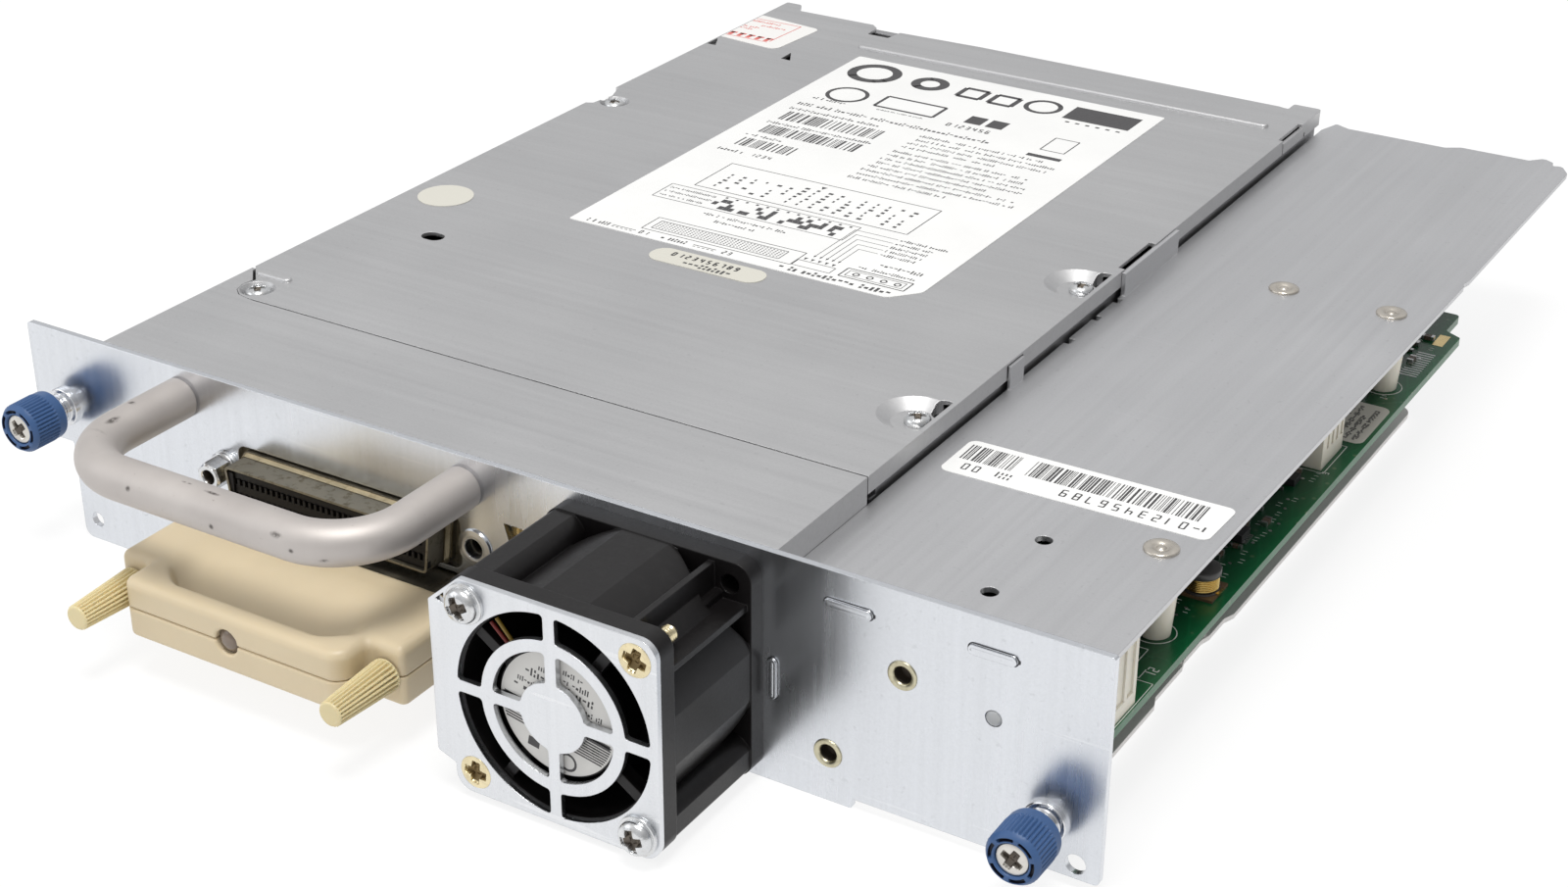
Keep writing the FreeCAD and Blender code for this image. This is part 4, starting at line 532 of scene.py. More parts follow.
# ------------------------------------------------------------------ captive thumbscrews
KY0, KY1 = -12.1, -3.9
KNOBS = ((-216.1, 25.8), (-9.55, 8.9))
def knob(name, x, z, side):
    M = Mesh()
    n = 40 * 8
    def mod(th, r, t, i):
        y = t
        if 3.25 < r < 4.0 and t < 0.03:                     # six arc slots in the front face
            w = (th - 0.30) % (pi / 3)
            e = sstep((w - 0.17) / 0.05) * sstep((pi / 3 - w - 0.06) / 0.05)
            e *= sstep((r - 3.32) / 0.08) * sstep((3.95 - r) / 0.08)
            return r, t + 0.75 * e
        if 4.3 < r and 0.95 < t < 6.15:                     # fine ribs, running out towards the collar and the rim
            c = 0.5 + 0.5 * cos(40 * th)
            e = sstep((t - 0.8) / 0.5) * sstep((6.2 - t) / 0.35)
            return r - 0.30 * e * (c ** 1.5), t
        return r, t
    front = [(r, 0.0) for r in np.linspace(3.22, 4.0, 14)]
    ribs = [(4.78 + 0.04 * (t - 1) / 5, t) for t in (1.0, 1.1, 1.25, 1.5, 2.2, 3.0, 3.8, 4.6, 5.4, 5.85, 6.0, 6.1)]
    prof = [(2.9, 2.1), (2.9, 0.42), (2.98, 0.2), (3.12, 0.03)] + front + [(4.12, 0.05), (4.52, 0.62), (4.7, 0.86)] + ribs + \
           [(4.78, 6.22), (4.74, 6.35), (4.72, 7.6), (4.6, 8.02), (4.3, 8.2), (3.0, 8.2), (2.95, 8.0), (2.95, 2.8), (1.82, 2.7), (1.82, 2.1)]
    # painted shade: the bottoms of the arc slots take the darker blue
    def matf(th, r, i):
        w = (th - 0.30) % (pi / 3)
        return 1 if 4 <= i < 17 and 3.36 < r < 3.92 and 0.2 < w < pi / 3 - 0.1 else 0
    M.lathe((x, KY0, z), "y", 1, prof, n, mod, matf=matf, closed=True)
    piece(name, M, ["knob_blue", "knob_slot_painted_shade"], "screw_" + side, ["knob_" + side], angle=40)

def captive(name, x, z, side, turn):
    M = Mesh()
    o = (x, KY0 + 0.3, z)
    dome = [(0, 0.12), (1.4, 0.10), (2.2, 0.04), (2.55, -0.02), (2.72, -0.12), (2.8, -0.28)]
    skirt = [(2.83, -0.5), (2.83, -1.75), (1.75, -1.78)] + [(1.75, -13.3), (1.98, -13.4), (1.98, -13.85), (1.5, -13.9), (1.5, -14.55)] + \
        thread(1.98, 1.72, -14.6, -19.2, 0.7) + [(1.7, -19.3), (1.1, -20.95), (0, -21.0)]
    screw_head(M, o, "y", -1, dome, skirt, 1.25, 1.85, 1.15, turn)
    piece(name, M, ["screw_nickel", "recess_painted_shade"], "screw_" + side, ["captive_screw_" + side])

knob("knob_ribbed_left", *KNOBS[0], "left")
knob("knob_ribbed_right", *KNOBS[1], "right")
captive("captive_shank_left", *KNOBS[0], "left", radians(38))
captive("captive_shank_right", *KNOBS[1], "right", radians(62))
M = Mesh()
for x, z in KNOBS:
    M.lathe((x, 0, z), "y", -1, [(2.12, 3.6), (2.55, 3.62), (2.72, 3.45), (2.75, 3.2), (2.75, 2.6), (2.6, 2.5), (2.6, 2.2), (2.75, 2.1), (2.75, 1.25), (2.9, 1.06), (3.55, 1.0), (3.72, 0.86),
                                       (3.76, 0.6), (3.76, 0.0), (2.7, -0.02), (2.7, -1.7), (2.12, -1.7)], 96, closed=True)
piece("captive_bushings", M, "screw_steel", "module", ["captive_ferrules"], angle=30)

# ------------------------------------------------------------------ fan screws
FX, FZ = -80.9, 19.75
G0 = -30.3
M = Mesh()
for (x, z), turn in (((FX - 16, FZ + 16), 0.42), ((FX + 16, FZ - 16), 0.25)):
    dome = [(0, 2.62), (1.0, 2.58), (1.6, 2.48), (2.1, 2.34), (2.5, 2.12), (2.8, 1.86), (2.98, 1.55), (3.06, 1.25)]
    skirt = [(3.08, 0.95), (3.04, 0.78), (3.1, 0.72), (3.42, 0.72), (3.56, 0.64), (3.6, 0.5), (3.6, 0.12), (3.5, 0.0), (1.5, 0.0), (1.5, -1.2)] + thread(1.5, 1.28, -1.3, -32.2, 0.5) + [(1.2, -32.8), (0, -32.9)]
    screw_head(M, (x, G0, z), "y", -1, dome, skirt, 1.45, 2.0, 1.3, turn)
piece("fan_pan_heads", M, ["screw_zinc", "recess_painted_shade"], "module", ["fan_pan_screws"])
M = Mesh()
for (x, z), turn in (((FX + 16, FZ + 16), -0.3), ((FX - 16, FZ - 16), -0.12)):
    dome = [(0, 0.16), (1.5, 0.14), (2.4, 0.10), (2.8, 0.06), (2.94, 0.0)]
    skirt = [(2.98, -0.08), (1.9, -0.9), (1.5, -1.05), (1.5, -1.3)] + thread(1.5, 1.22, -1.4, -9.2, 0.5) + [(1.45, -9.5), (0.9, -10.3), (0, -10.45)]
    screw_head(M, (x, G0, z), "y", -1, dome, skirt, 1.55, 2.1, 1.2, turn)
piece("fan_flush_heads", M, ["screw_yellow", "recess_brown_painted_shade"], "module", ["fan_flush_screws"])

# ------------------------------------------------------------------ cover screws
M = Mesh()
for (x, y), turn in (((-63.0, 54.5), 0.5), ((-63.0, 120.8), 0.2)):
    dome = [(0, 1.62), (0.9, 1.6), (1.5, 1.48), (1.95, 1.25), (2.25, 0.95), (2.4, 0.62)]
    skirt = [(2.45, 0.3), (2.45, 0.0), (1.5, -0.02), (1.5, -6.8), (0, -6.9)]
    screw_head(M, (x, y, 39.92), "z", 1, dome, skirt, 1.15, 1.5, 1.0, turn, n=96)
for (x, y), turn in (((-197.1, 34.3), 0.7), ((-199.6, 158.2), 0.1)):
    dome = [(0, 1.66), (0.9, 1.64), (1.5, 1.52), (2.0, 1.28), (2.3, 0.98), (2.45, 0.64)]
    skirt = [(2.5, 0.3), (2.5, 0.0), (1.5, -0.02), (1.5, -7.0), (0, -7.1)]
    screw_head(M, (x, y, 40.22), "z", 1, dome, skirt, 1.15, 1.5, 1.0, turn, n=96)
piece("cover_screw_heads", M, ["screw_zinc", "recess_painted_shade"], "module", ["cover_screws"])

# ------------------------------------------------------------------ rivets, clinch nuts, light pipe
M = Mesh()
for i, (x, y) in enumerate(((-11.0, 42.0), (-32.6, 150.8), (-10.4, 150.8))):
    tail = [(3.0, 0.0), (1.28, 0.0), (1.28, -2.3), (0, -2.35)]
    M.lathe((x, y, 36.25), "z", 1, [(0, 0.50), (0.35, 0.47), (0.62, 0.36), (0.8, 0.20), (0.92, 0.10), (1.05, 0.09), (1.3, 0.22), (1.62, 0.44), (1.9, 0.52), (2.4, 0.50), (2.85, 0.40), (3.02, 0.22), (3.02, 0.05)] + tail, 80)
piece("dished_rivets", M, "rivet_nickel", "module", ["bay_cover_rivets"], angle=50)

M = Mesh()
# painted shade: the bore wall and a dark disc sunk in the hole take the dark recess material
for x, z in ((-35.4, 26.6), (-48.6, 7.3)):
    M.lathe((x, 0, z), "y", -1, [(1.5, -3.0), (1.5, -1.0), (1.52, -0.2), (1.7, 0.08), (1.86, 0.2), (2.45, 0.24), (2.56, 0.2), (2.6, 0.1), (2.6, -3.0)], 80, closed=True,
            matf=lambda th, r, i: 1 if i < 2 else 0)
    M.lathe((x, 0, z), "y", -1, [(0, -2.2), (1.5, -2.2), (1.5, -2.6), (0, -2.6)], 40, mat=1)
piece("clinch_nut_rings", M, ["clinch_steel", "recess_painted_shade"], "module", ["clinch_nuts"], angle=35)
M = Mesh()
M.lathe((-19.4, 0, 24.2), "y", -1, [(0, 0.34), (0.5, 0.31), (0.9, 0.22), (1.2, 0.08), (1.38, -0.12), (1.42, -0.4), (1.42, -2.4), (2.2, -2.45), (2.2, -3.3), (0, -3.3)], 64)
piece("light_pipe_dome", M, "light_pipe_grey", "module", ["light_pipe"], angle=60)

# ------------------------------------------------------------------ lanced bars and pressed ring of the panel
def bar_piece(M, a, b, r, h, along):
    """Half-round bar from a to b (x, z) on the panel's face."""
    n, m = 28, 12
    L = sqrt((b[0] - a[0]) ** 2 + (b[1] - a[1]) ** 2)
    ux, uz = (b[0] - a[0]) / L, (b[1] - a[1]) / L
    verts, faces = [], []
    rows = []
    for j in range(m + 1):
        el = (pi / 2) * j / m
        rr, hh = r * cos(el), h * sin(el)
        row = []
        for i in range(n * 2):
            th = 2 * pi * i / (n * 2)
            cx = (L if cos(th) > 0 else 0.0) + rr * cos(th)
            cz = rr * sin(th)
            row.append(len(verts))
            verts.append((a[0] + ux * cx - uz * cz, -hh, a[1] + uz * cx + ux * cz))
        rows.append(row)
    base = []
    for i in range(n * 2):
        x, y, z = verts[rows[0][i]]
        base.append(len(verts))
        verts.append((x, 0.15, z))
    k = n * 2
    for i in range(k):
        faces.append((base[i], base[(i + 1) % k], rows[0][(i + 1) % k], rows[0][i]))
        for j in range(m):
            faces.append((rows[j][i], rows[j][(i + 1) % k], rows[j + 1][(i + 1) % k], rows[j + 1][i]))
    faces.append(tuple(base))
    M.add(verts, faces, 0)

def slot_ring(M, a, b, r0, r1, h, mat):
    """Flat dark ring round a bar: painted shade standing in for the gap where the sheet was lanced."""
    n = 40
    L = sqrt((b[0] - a[0]) ** 2 + (b[1] - a[1]) ** 2)
    ux, uz = (b[0] - a[0]) / L, (b[1] - a[1]) / L
    out = []
    for r in (r0, r1):
        row = []
        for i in range(n):
            th = 2 * pi * (i + 0.5) / n
            cx = (L if cos(th) > 0 else 0.0) + r * cos(th)
            cz = r * sin(th)
            row.append((a[0] + ux * cx - uz * cz, a[1] + uz * cx + ux * cz))
        out.append(row)
    verts = [(x, y, z) for y in (-h, 0.02) for row in out for x, z in row]
    f = []
    for i in range(n):
        j = (i + 1) % n
        f += [(i, j, n + j, n + i), (2 * n + i, 3 * n + i, 3 * n + j, 2 * n + j), (i, 2 * n + i, 2 * n + j, j), (n + i, n + j, 3 * n + j, 3 * n + i)]
    M.add(verts, f, mat)

M = Mesh()
for a, b in (((-48.75, 35.6), (-41.75, 35.6)), ((-23.25, 35.6), (-16.65, 35.6)), ((-59.1, 15.15), (-59.1, 21.05))):
    bar_piece(M, a, b, 0.9, 0.62, None)
    slot_ring(M, a, b, 0.88, 1.10, 0.03, 1)
    ux = 1 if a[1] == b[1] else 0
    # the open end of the lance, painted as a dark patch of shade
    e = (b[0] + 0.9, b[1]) if ux else (b[0], b[1] + 0.9)
    pts = [(e[0] - 0.05, e[1] - 0.5), (e[0] + 0.42, e[1] - 0.28), (e[0] + 0.42, e[1] + 0.28), (e[0] - 0.05, e[1] + 0.5)] if ux else \
          [(e[0] - 0.5, e[1] - 0.05), (e[0] + 0.5, e[1] - 0.05), (e[0] + 0.28, e[1] + 0.42), (e[0] - 0.28, e[1] + 0.42)]
    M.prism(pts, -0.035, 0.02, "y", 1)
# ring pressed round the empty jack hole, and the pressed dot on the ear
M.lathe((-119.05, 0, 24.2), "y", -1, [(1.88, -0.6), (1.9, 0.3), (2.05, 0.44), (2.4, 0.47), (2.9, 0.46), (3.35, 0.42), (3.55, 0.2), (3.6, -0.1), (3.6, -0.6)], 72, closed=True)
M.lathe((-198.4, 0, 8.5), "y", -1, [(0, 0.42), (0.45, 0.40), (0.85, 0.30), (1.12, 0.12), (1.22, -0.1), (0, -0.12)], 40)
piece("panel_pressings", M, ["panel_zinc", "slot_painted_shade"], "module", angle=40)

# ------------------------------------------------------------------ terminator thumbscrews
for side, x in (("left", -146.9 - 28.25), ("right", -146.9 + 28.25)):
    M = Mesh()
    def mod(th, r, t, i):
        if t < 0.35 or t > 13.9:
            return r, t
        c = (0.5 + 0.5 * cos(22 * th)) ** 1.5
        e = sstep((t - 0.3) / 0.15)
        return r - (0.36 + 0.018 * t) * e * c + 0.06, t
    st = [0.36, 0.42, 0.5, 0.65] + list(np.linspace(1.0, 13.6, 16)) + [13.8]
    prof = [(0, 0.06), (1.75, 0.05), (2.08, 0.06), (2.18, 0.14), (2.24, 0.30)] + [(2.3 + 0.054 * t, t) for t in st] + [(3.05, 14.0), (3.04, 14.22), (1.55, 14.28), (1.55, 34.8), (1.24, 34.85)] + \
        thread(1.24, 1.02, -34.9, -39.0, 0.5)[:0] + [(1.24, 39.2), (0, 39.25)]
    M.lathe((x, -39.86, 12.6), "y", 1, prof, 240, mod)
    piece("term_thumbscrew_" + side, M, "term_thumb", "thumb_" + side, ["term_screw_" + side], angle=38)

# ------------------------------------------------------------------ terminator shells
def term_field(lo, hi, h):
    xs = [np.arange(a, b + h, h) for a, b in zip(lo, hi)]
    X, Y, Z = np.meshgrid(*xs, indexing="ij")
    tx = -146.9
    def rbox(cx, cy, hx, hy, r):
        qx, qy = np.abs(X - cx) - hx + r, np.abs(Y - cy) - hy + r
        return np.minimum(np.maximum(qx, qy), 0) + np.sqrt(np.maximum(qx, 0) ** 2 + np.maximum(qy, 0) ** 2) - r
    def smin(a, b, k):
        hh = np.clip(0.5 + 0.5 * (b - a) / k, 0, 1)
        return b * (1 - hh) + a * hh - k * hh * (1 - hh)
    front = rbox(tx, (-32.3 - 7.5) / 2, 24.5, (32.3 - 7.5) / 2, np.where(X < tx, 2.2, 3.5))
    back = rbox(tx, (-25.2 - 6.6) / 2, 31.6, (25.2 - 6.6) / 2, 1.3)
    d2 = smin(front, back, 1.7)
    zc, hz = (6.9 + 18.3) / 2, (18.3 - 6.9) / 2
    r = np.where(Z > zc, 1.9, 0.7)
    qz = np.abs(Z - zc) - hz + r
    w = d2 + r
    body = np.minimum(np.maximum(w, qz), 0) + np.sqrt(np.maximum(w, 0) ** 2 + np.maximum(qz, 0) ** 2) - r
    # back face stays square
    body = np.maximum(body, Y + 6.6)
    # the finger scoop: a steep drop behind the front lip, then a long easy rise to the back
    ss = lambda t: np.clip(t, 0, 1) ** 2 * (3 - 2 * np.clip(t, 0, 1))
    end = ss((np.abs(X - (tx + 0.8)) - 15.5) / 7.2)
    lip = -29.4 + 3.2 * ss((np.abs(X - (tx + 0.8)) - 15.0) / 7.0)
    t = (Y - lip) / 2.3
    fall = ss(t)
    rise = 1.0 - np.clip((Y - lip - 2.3) / 15.5, 0, 1) ** 0.85
    deep = 3.9 * fall * rise * (1.0 - end)
    val = (18.3 + 0.25 - deep - Z) / 1.25
    k = 0.7
    hh = np.clip(0.5 - 0.5 * (body + val) / k, 0, 1)
    body = body * (1 - hh) - val * hh + k * hh * (1 - hh)
    # window of the indicator
    hole = np.maximum(np.sqrt((X - (tx - 0.9)) ** 2 + (Z - 12.7) ** 2) - 2.4, Y + 29.0)
    body = np.maximum(body, -hole)
    for s in (-1, 1):
        bore = np.sqrt((X - (tx + s * 28.25)) ** 2 + (Z - 12.6) ** 2) - 1.62
        body = np.maximum(body, -bore)
    return body, Z

h = 0.30
lo, hi = (-146.9 - 32.4, -33.2, 6.0), (-146.9 + 32.4, -5.8, 19.3)
body, Z = term_field(lo, hi, h)
for name, node, field in (("term_moulding_top", "term_shell_top", np.maximum(body, 12.66 - Z)), ("term_moulding_bottom", "term_shell_bottom", np.maximum(body, Z - 12.54))):
    P, F = surface_nets(field, lo, h)
    M = Mesh()
    M.v = [tuple(p) for p in P]
    M.f = [tuple(int(i) for i in f) for f in F]
    M.m = [0] * len(M.f)
    piece(name, M, "term_beige", "terminator", [node], angle=50)

M = Mesh()
M.lathe((-147.8, -31.55, 12.7), "y", -1, [(0, 0.62), (0.5, 0.60), (1.0, 0.50), (1.45, 0.32), (1.85, 0.06), (2.1, -0.2), (2.32, -0.3), (2.36, -0.6), (2.36, -1.2), (1.5, -1.25), (1.5, -2.05), (0, -2.1)], 64)
piece("lens_dome", M, "lens_clear", "terminator", ["term_lens"], angle=60)

# ------------------------------------------------------------------ fan leads, one red and one yellow
M = Mesh()
def rod(M, p0, p1, r, mat, n=20):
    p0, p1 = Vector(p0), Vector(p1)
    d = (p1 - p0).normalized()
    u = d.cross(Vector((0, 1, 0))).normalized()
    w = d.cross(u)
    v = [tuple(p + r * (cos(2 * pi * i / n) * u + sin(2 * pi * i / n) * w)) for p in (p0, p1) for i in range(n)]
    f = [tuple(range(n)), tuple(range(2 * n - 1, n - 1, -1))] + [(i, n + i, n + (i + 1) % n, (i + 1) % n) for i in range(n)]
    M.add(v, f, mat)
for j in (0, 1):
    a = radians(131.5 + 4.9 * j)
    rod(M, (FX + 11.4 * cos(a), -27.9, FZ + 11.4 * sin(a)), (FX + 17.9 * cos(a), -27.9, FZ + 17.9 * sin(a)), 0.34, j)
piece("fan_lead_wires", M, ["lead_yellow", "lead_red"], "module", ["fan_leads"], angle=50)

# ------------------------------------------------------------------ upper socket: comb between the contacts, tarnished lip, header comb
CX, CZ = -147.3, 24.2
M = Mesh()
for zz in (CZ - 1.45, CZ + 1.45):
    for i in range(35):
        x = CX - 20.95 + 1.27 * (i - 0.5)
        M.box(x - 0.27, x + 0.27, -5.62, 1.0, zz - 0.61, zz + 0.61)
for x in (CX - 21.9, CX + 21.9):
    M.box(x - 0.5, x + 0.5, -5.75, -5.0, CZ - 3.1, CZ + 3.1)
piece("socket_comb", M, "insert_black", "module")

M = Mesh()
def lip_path(w0, w1, z0, z1, r):
    """Rounded trapezoid outline, wide at the top."""
    pts = [(-w0, z0), (w0, z0), (w1, z1), (-w1, z1)]
    out = []
    for i in range(4):
        p, a, b = Vector(pts[i]), Vector(pts[i - 1]), Vector(pts[(i + 1) % 4])
        u, v = (a - p).normalized(), (b - p).normalized()
        for k in range(7):
            t = k / 6.0
            q = p + u * r * (1 - t) ** 2 + v * r * t ** 2
            out.append((CX + q.x, CZ + q.y))
    return out
def ring_sweep(M, rings, mat=0):
    """Closed sweep: rings is a list of (outline, y), joined in order and back to the first."""
    n = len(rings[0][0])
    v = [(x, y, z) for pts, y in rings for x, z in pts]
    f = []
    m = len(rings)
    for a in range(m):
        b = (a + 1) % m
        f += [(a * n + i, a * n + (i + 1) % n, b * n + (i + 1) % n, b * n + i) for i in range(n)]
    M.add(v, f, mat)
W2, H2 = 23.2, 4.2
# bead where the shell's rolled flange meets the panel
ring_sweep(M, [(lip_path(W2 - 0.9, W2 + 0.2, -H2 - 0.1, H2 + 0.1, 1.2), -1.5), (lip_path(W2 - 0.7, W2 + 0.4, -H2 - 0.3, H2 + 0.3, 1.4), -0.6), (lip_path(W2 - 0.5, W2 + 0.6, -H2 - 0.5, H2 + 0.5, 1.6), -0.35),
               (lip_path(W2 - 0.45, W2 + 0.65, -H2 - 0.55, H2 + 0.55, 1.6), -0.15), (lip_path(W2 - 0.45, W2 + 0.65, -H2 - 0.55, H2 + 0.55, 1.6), 0.15), (lip_path(W2 - 1.3, W2 - 0.2, -H2 + 0.2, H2 - 0.2, 1.0), 0.15), (lip_path(W2 - 1.3, W2 - 0.2, -H2 + 0.2, H2 - 0.2, 1.0), -1.2)])
piece("socket_rolled_lip", M, "lip_gold", "module", angle=50)

M = Mesh()
for i in range(6):
    x = -112.25 + 1.16 * i
    v = [(x, 27.2), (x + 0.5, 27.2), (x + 0.95, 31.2), (x + 0.45, 31.2)]
    M.prism(v, 1.25, 2.4, "y", 0)
M.prism([(-113.0, 26.8), (-105.8, 26.8), (-105.8, 31.4), (-113.0, 31.4)], 2.2, 2.5, "y", 1)
piece("header_comb", M, ["contact_gold", "nylon_white"], "module")

# ------------------------------------------------------------------ hexagonal jacks with their washers
M = Mesh()
for jx, jz, L in ((-147.3 - 28.25, 24.2, 5.2), (-146.9 - 28.25, 12.6, 4.6), (-146.9 + 28.25, 12.6, 4.6)):
    n = 96
    def hexr(th, chamf):
        a = (th + 0.2) % (pi / 3) - pi / 6
        return min(2.42 / cos(a), 2.79 - chamf)
    def mod(th, r, t, i):
        if r > 2.0 and 1.35 < t:
            c = 0.55 if t > L - 0.2 else (0.12 if t > L - 0.6 else 0.0)
            return hexr(th, c), t
        return r, t
    prof = [(1.3, -2.0), (1.3, L - 0.45), (1.45, L - 0.1), (1.62, L), (2.2, L), (2.4, L - 0.05), (2.4, L - 0.35), (2.4, L - 0.9), (2.4, 1.42), (1.66, 1.4), (1.66, 1.36)]
    prof += [(2.9, 1.34), (3.08, 1.22), (3.1, 0.95), (2.95, 0.8), (2.2, 0.76), (2.9, 0.7), (3.2, 0.6), (3.22, 0.2), (3.1, 0.02), (1.66, 0.0), (1.66, -7.2), (1.3, -7.2)]
    # painted shade: the bore faces of the jack take the dark recess material
    M.lathe((jx, 0, jz), "y", -1, prof, n, mod, closed=True, matf=lambda th, r, i: 1 if i in (0, 21, 22) else 0)
piece("hex_jacks", M, ["screw_zinc", "recess_painted_shade"], "module", ["jackscrews"], angle=30)

# ------------------------------------------------------------------ print: thin closed strips of ink on a plane
class Print(Mesh):
    def __init__(self, plane, h0, h1, seed=1):
        super().__init__()
        self.plane, self.h0, self.h1 = plane, h0, h1
        self.rng = random.Random(seed)

    def poly(self, pts, mat=0):
        n = len(pts)
        v = [self.plane(u, w, self.h0) for u, w in pts] + [self.plane(u, w, self.h1) for u, w in pts]
        f = [tuple(range(n)), tuple(range(2 * n - 1, n - 1, -1))] + [(i, (i + 1) % n, n + (i + 1) % n, n + i) for i in range(n)]
        self.add(v, f, mat)

    def rect(self, u0, v0, u1, v1, mat=0):
        self.poly([(u0, v0), (u1, v0), (u1, v1), (u0, v1)], mat)

    def line(self, u0, v0, u1, v1, w, mat=0):
        d = sqrt((u1 - u0) ** 2 + (v1 - v0) ** 2) or 1
        nx, ny = -(v1 - v0) / d * w / 2, (u1 - u0) / d * w / 2
        self.poly([(u0 + nx, v0 + ny), (u1 + nx, v1 + ny), (u1 - nx, v1 - ny), (u0 - nx, v0 - ny)], mat)

    def frame(self, u0, v0, u1, v1, w, mat=0):
        for a in ((u0, v0, u1, v0), (u1, v0, u1, v1), (u1, v1, u0, v1), (u0, v1, u0, v0)):
            self.line(*a, w, mat)

    def ring(self, cu, cv, r0, r1, n=32, a0=0.0, a1=2 * pi, sq=1.0, mat=0):
        for i in range(n):
            a, b = a0 + (a1 - a0) * i / n, a0 + (a1 - a0) * (i + 1) / n
            self.poly([(cu + r0 * cos(a), cv + sq * r0 * sin(a)), (cu + r1 * cos(a), cv + sq * r1 * sin(a)), (cu + r1 * cos(b), cv + sq * r1 * sin(b)), (cu + r0 * cos(b), cv + sq * r0 * sin(b))], mat)

    def disc(self, cu, cv, r, n=24, mat=0):
        self.poly([(cu + r * cos(2 * pi * i / n), cv + r * sin(2 * pi * i / n)) for i in range(n)], mat)

    def bars(self, u0, v0, u1, v1, unit, mat=0, slant=0.0):
        u = u0
        while u < u1 - unit * 2:
            w = unit * self.rng.choice((0.7, 0.7, 1.4, 1.4, 2.2))
            self.poly([(u, v0), (u + w, v0), (u + w + slant, v1), (u + slant, v1)], mat)
            u += w + unit * self.rng.choice((0.8, 0.8, 1.6, 2.4))

    def text(self, u0, v, length, hgt, weight=0.16, mat=0, gap=0.12):
        """A row of plain ticks, dots and dashes the size of small print, with no letters in it."""
        u, end = u0, u0 + length
        w = hgt * weight * 1.25
        while u < end - hgt * 0.3:
            if self.rng.random() < gap:
                u += hgt * 0.5
                continue
            kind = self.rng.randrange(5)
            if kind in (0, 1):                       # tick
                k = self.rng.choice((0.7, 0.85, 1.0))
                self.rect(u, v, u + w, v + hgt * k, mat)
                u += w
            elif kind == 2:                          # small block
                q = hgt * 0.42
                self.rect(u, v + hgt * 0.15, u + q, v + hgt * 0.15 + q, mat)
                u += q
            elif kind == 3:                          # dash
                self.rect(u, v + hgt * 0.38, u + hgt * 0.45, v + hgt * 0.38 + w, mat)
                u += hgt * 0.45
            else:                                    # two short ticks, one over the other
                self.rect(u, v, u + w, v + hgt * 0.38, mat)
                self.rect(u, v + hgt * 0.58, u + w, v + hgt * 0.95, mat)
                u += w
            u += hgt * 0.21

    SEG = {"0": "abcdef", "1": "bc", "2": "abged", "3": "abgcd", "4": "fgbc", "5": "afgcd", "6": "afgedc", "7": "abc", "8": "abcdefg", "9": "abcdfg"}

    def digits(self, u0, v, s, hgt, weight=0.13, mat=0, step=0.82):
        u, w = u0, hgt * weight
        for ch in s:
            cw = hgt * 0.5
            for k in self.SEG.get(ch, ""):
                {"a": lambda: self.line(u + w * .5, v + hgt - w / 2, u + cw - w * .5, v + hgt - w / 2, w, mat), "b": lambda: self.line(u + cw - w / 2, v + hgt / 2, u + cw - w / 2, v + hgt - w * .4, w, mat),
                 "c": lambda: self.line(u + cw - w / 2, v + w * .4, u + cw - w / 2, v + hgt / 2, w, mat), "d": lambda: self.line(u + w * .5, v + w / 2, u + cw - w * .5, v + w / 2, w, mat),
                 "e": lambda: self.line(u + w / 2, v + w * .4, u + w / 2, v + hgt / 2, w, mat), "f": lambda: self.line(u + w / 2, v + hgt / 2, u + w / 2, v + hgt - w * .4, w, mat),
                 "g": lambda: self.line(u + w * .5, v + hgt / 2, u + cw - w * .5, v + hgt / 2, w, mat)}[k]()
            u += hgt * step

TOP = 41.62
P = Print(lambda u, v, h: (u, v, TOP + h), -0.02, 0.012, 5)
# row of plain rings, squares and blocks along the far edge
P.ring(-158.2, 207.0, 4.3, 6.6, 40)
P.ring(-143.4, 207.4, 2.3, 4.6, 32)
P.frame(-134.6, 203.8, -128.8, 209.6, 1.3)
P.frame(-126.2, 203.4, -120.4, 209.2, 1.3)
P.ring(-113.8, 207.3, 3.4, 4.6, 28)
P.rect(-107.2, 203.2, -90.8, 211.6)
for k in range(6):
    P.rect(-105.4 + 2.5 * k, 201.0, -104.4 + 2.5 * k, 201.7)
P.ring(-156.2, 190.6, 4.2, 5.2, 28)
P.text(-162.0, 184.2, 9.0, 1.4, 0.2)
P.frame(-147.4, 187.6, -132.2, 194.8, 0.8)
P.text(-145.6, 185.4, 12.0, 0.7, 0.3)
for k in range(2):
    P.rect(-124.8 + 5.4 * k, 188.6, -120.6 + 5.4 * k, 193.4)
P.digits(-127.4, 184.6, "0123456", 2.0, 0.16)
# plain square and bar
P.frame(-102.4, 182.4, -96.6, 190.6, 0.3)
P.rect(-103.6, 177.6, -95.4, 179.2)
# left column: headings over bar codes
P.text(-163.0, 179.0, 50.0, 1.9, 0.17)
P.text(-163.0, 175.4, 24.0, 1.5, 0.2)
P.bars(-161.6, 168.2, -136.4, 174.0, 0.32)
P.text(-162.6, 165.0, 27.0, 1.4, 0.2)
P.bars(-161.0, 158.8, -136.0, 164.0, 0.30)
P.text(-162.6, 155.6, 10.0, 1.4, 0.2)
P.bars(-161.4, 149.4, -147.4, 154.4, 0.30)
P.text(-163.0, 145.0, 7.0, 1.6, 0.17)
P.digits(-154.6, 145.0, "1234", 1.7, 0.14)
# right column: two paragraphs
y = 175.0
for k, n in enumerate((31, 35, 34.5, 24, 33, 34, 35.5, 36, 29, 37.5, 38.5, 24)):
    P.text(-128.8 - 0.12 * k, y, n, 1.25, 0.2, gap=0.14)
    y -= 2.62 if k not in (3,) else 3.4
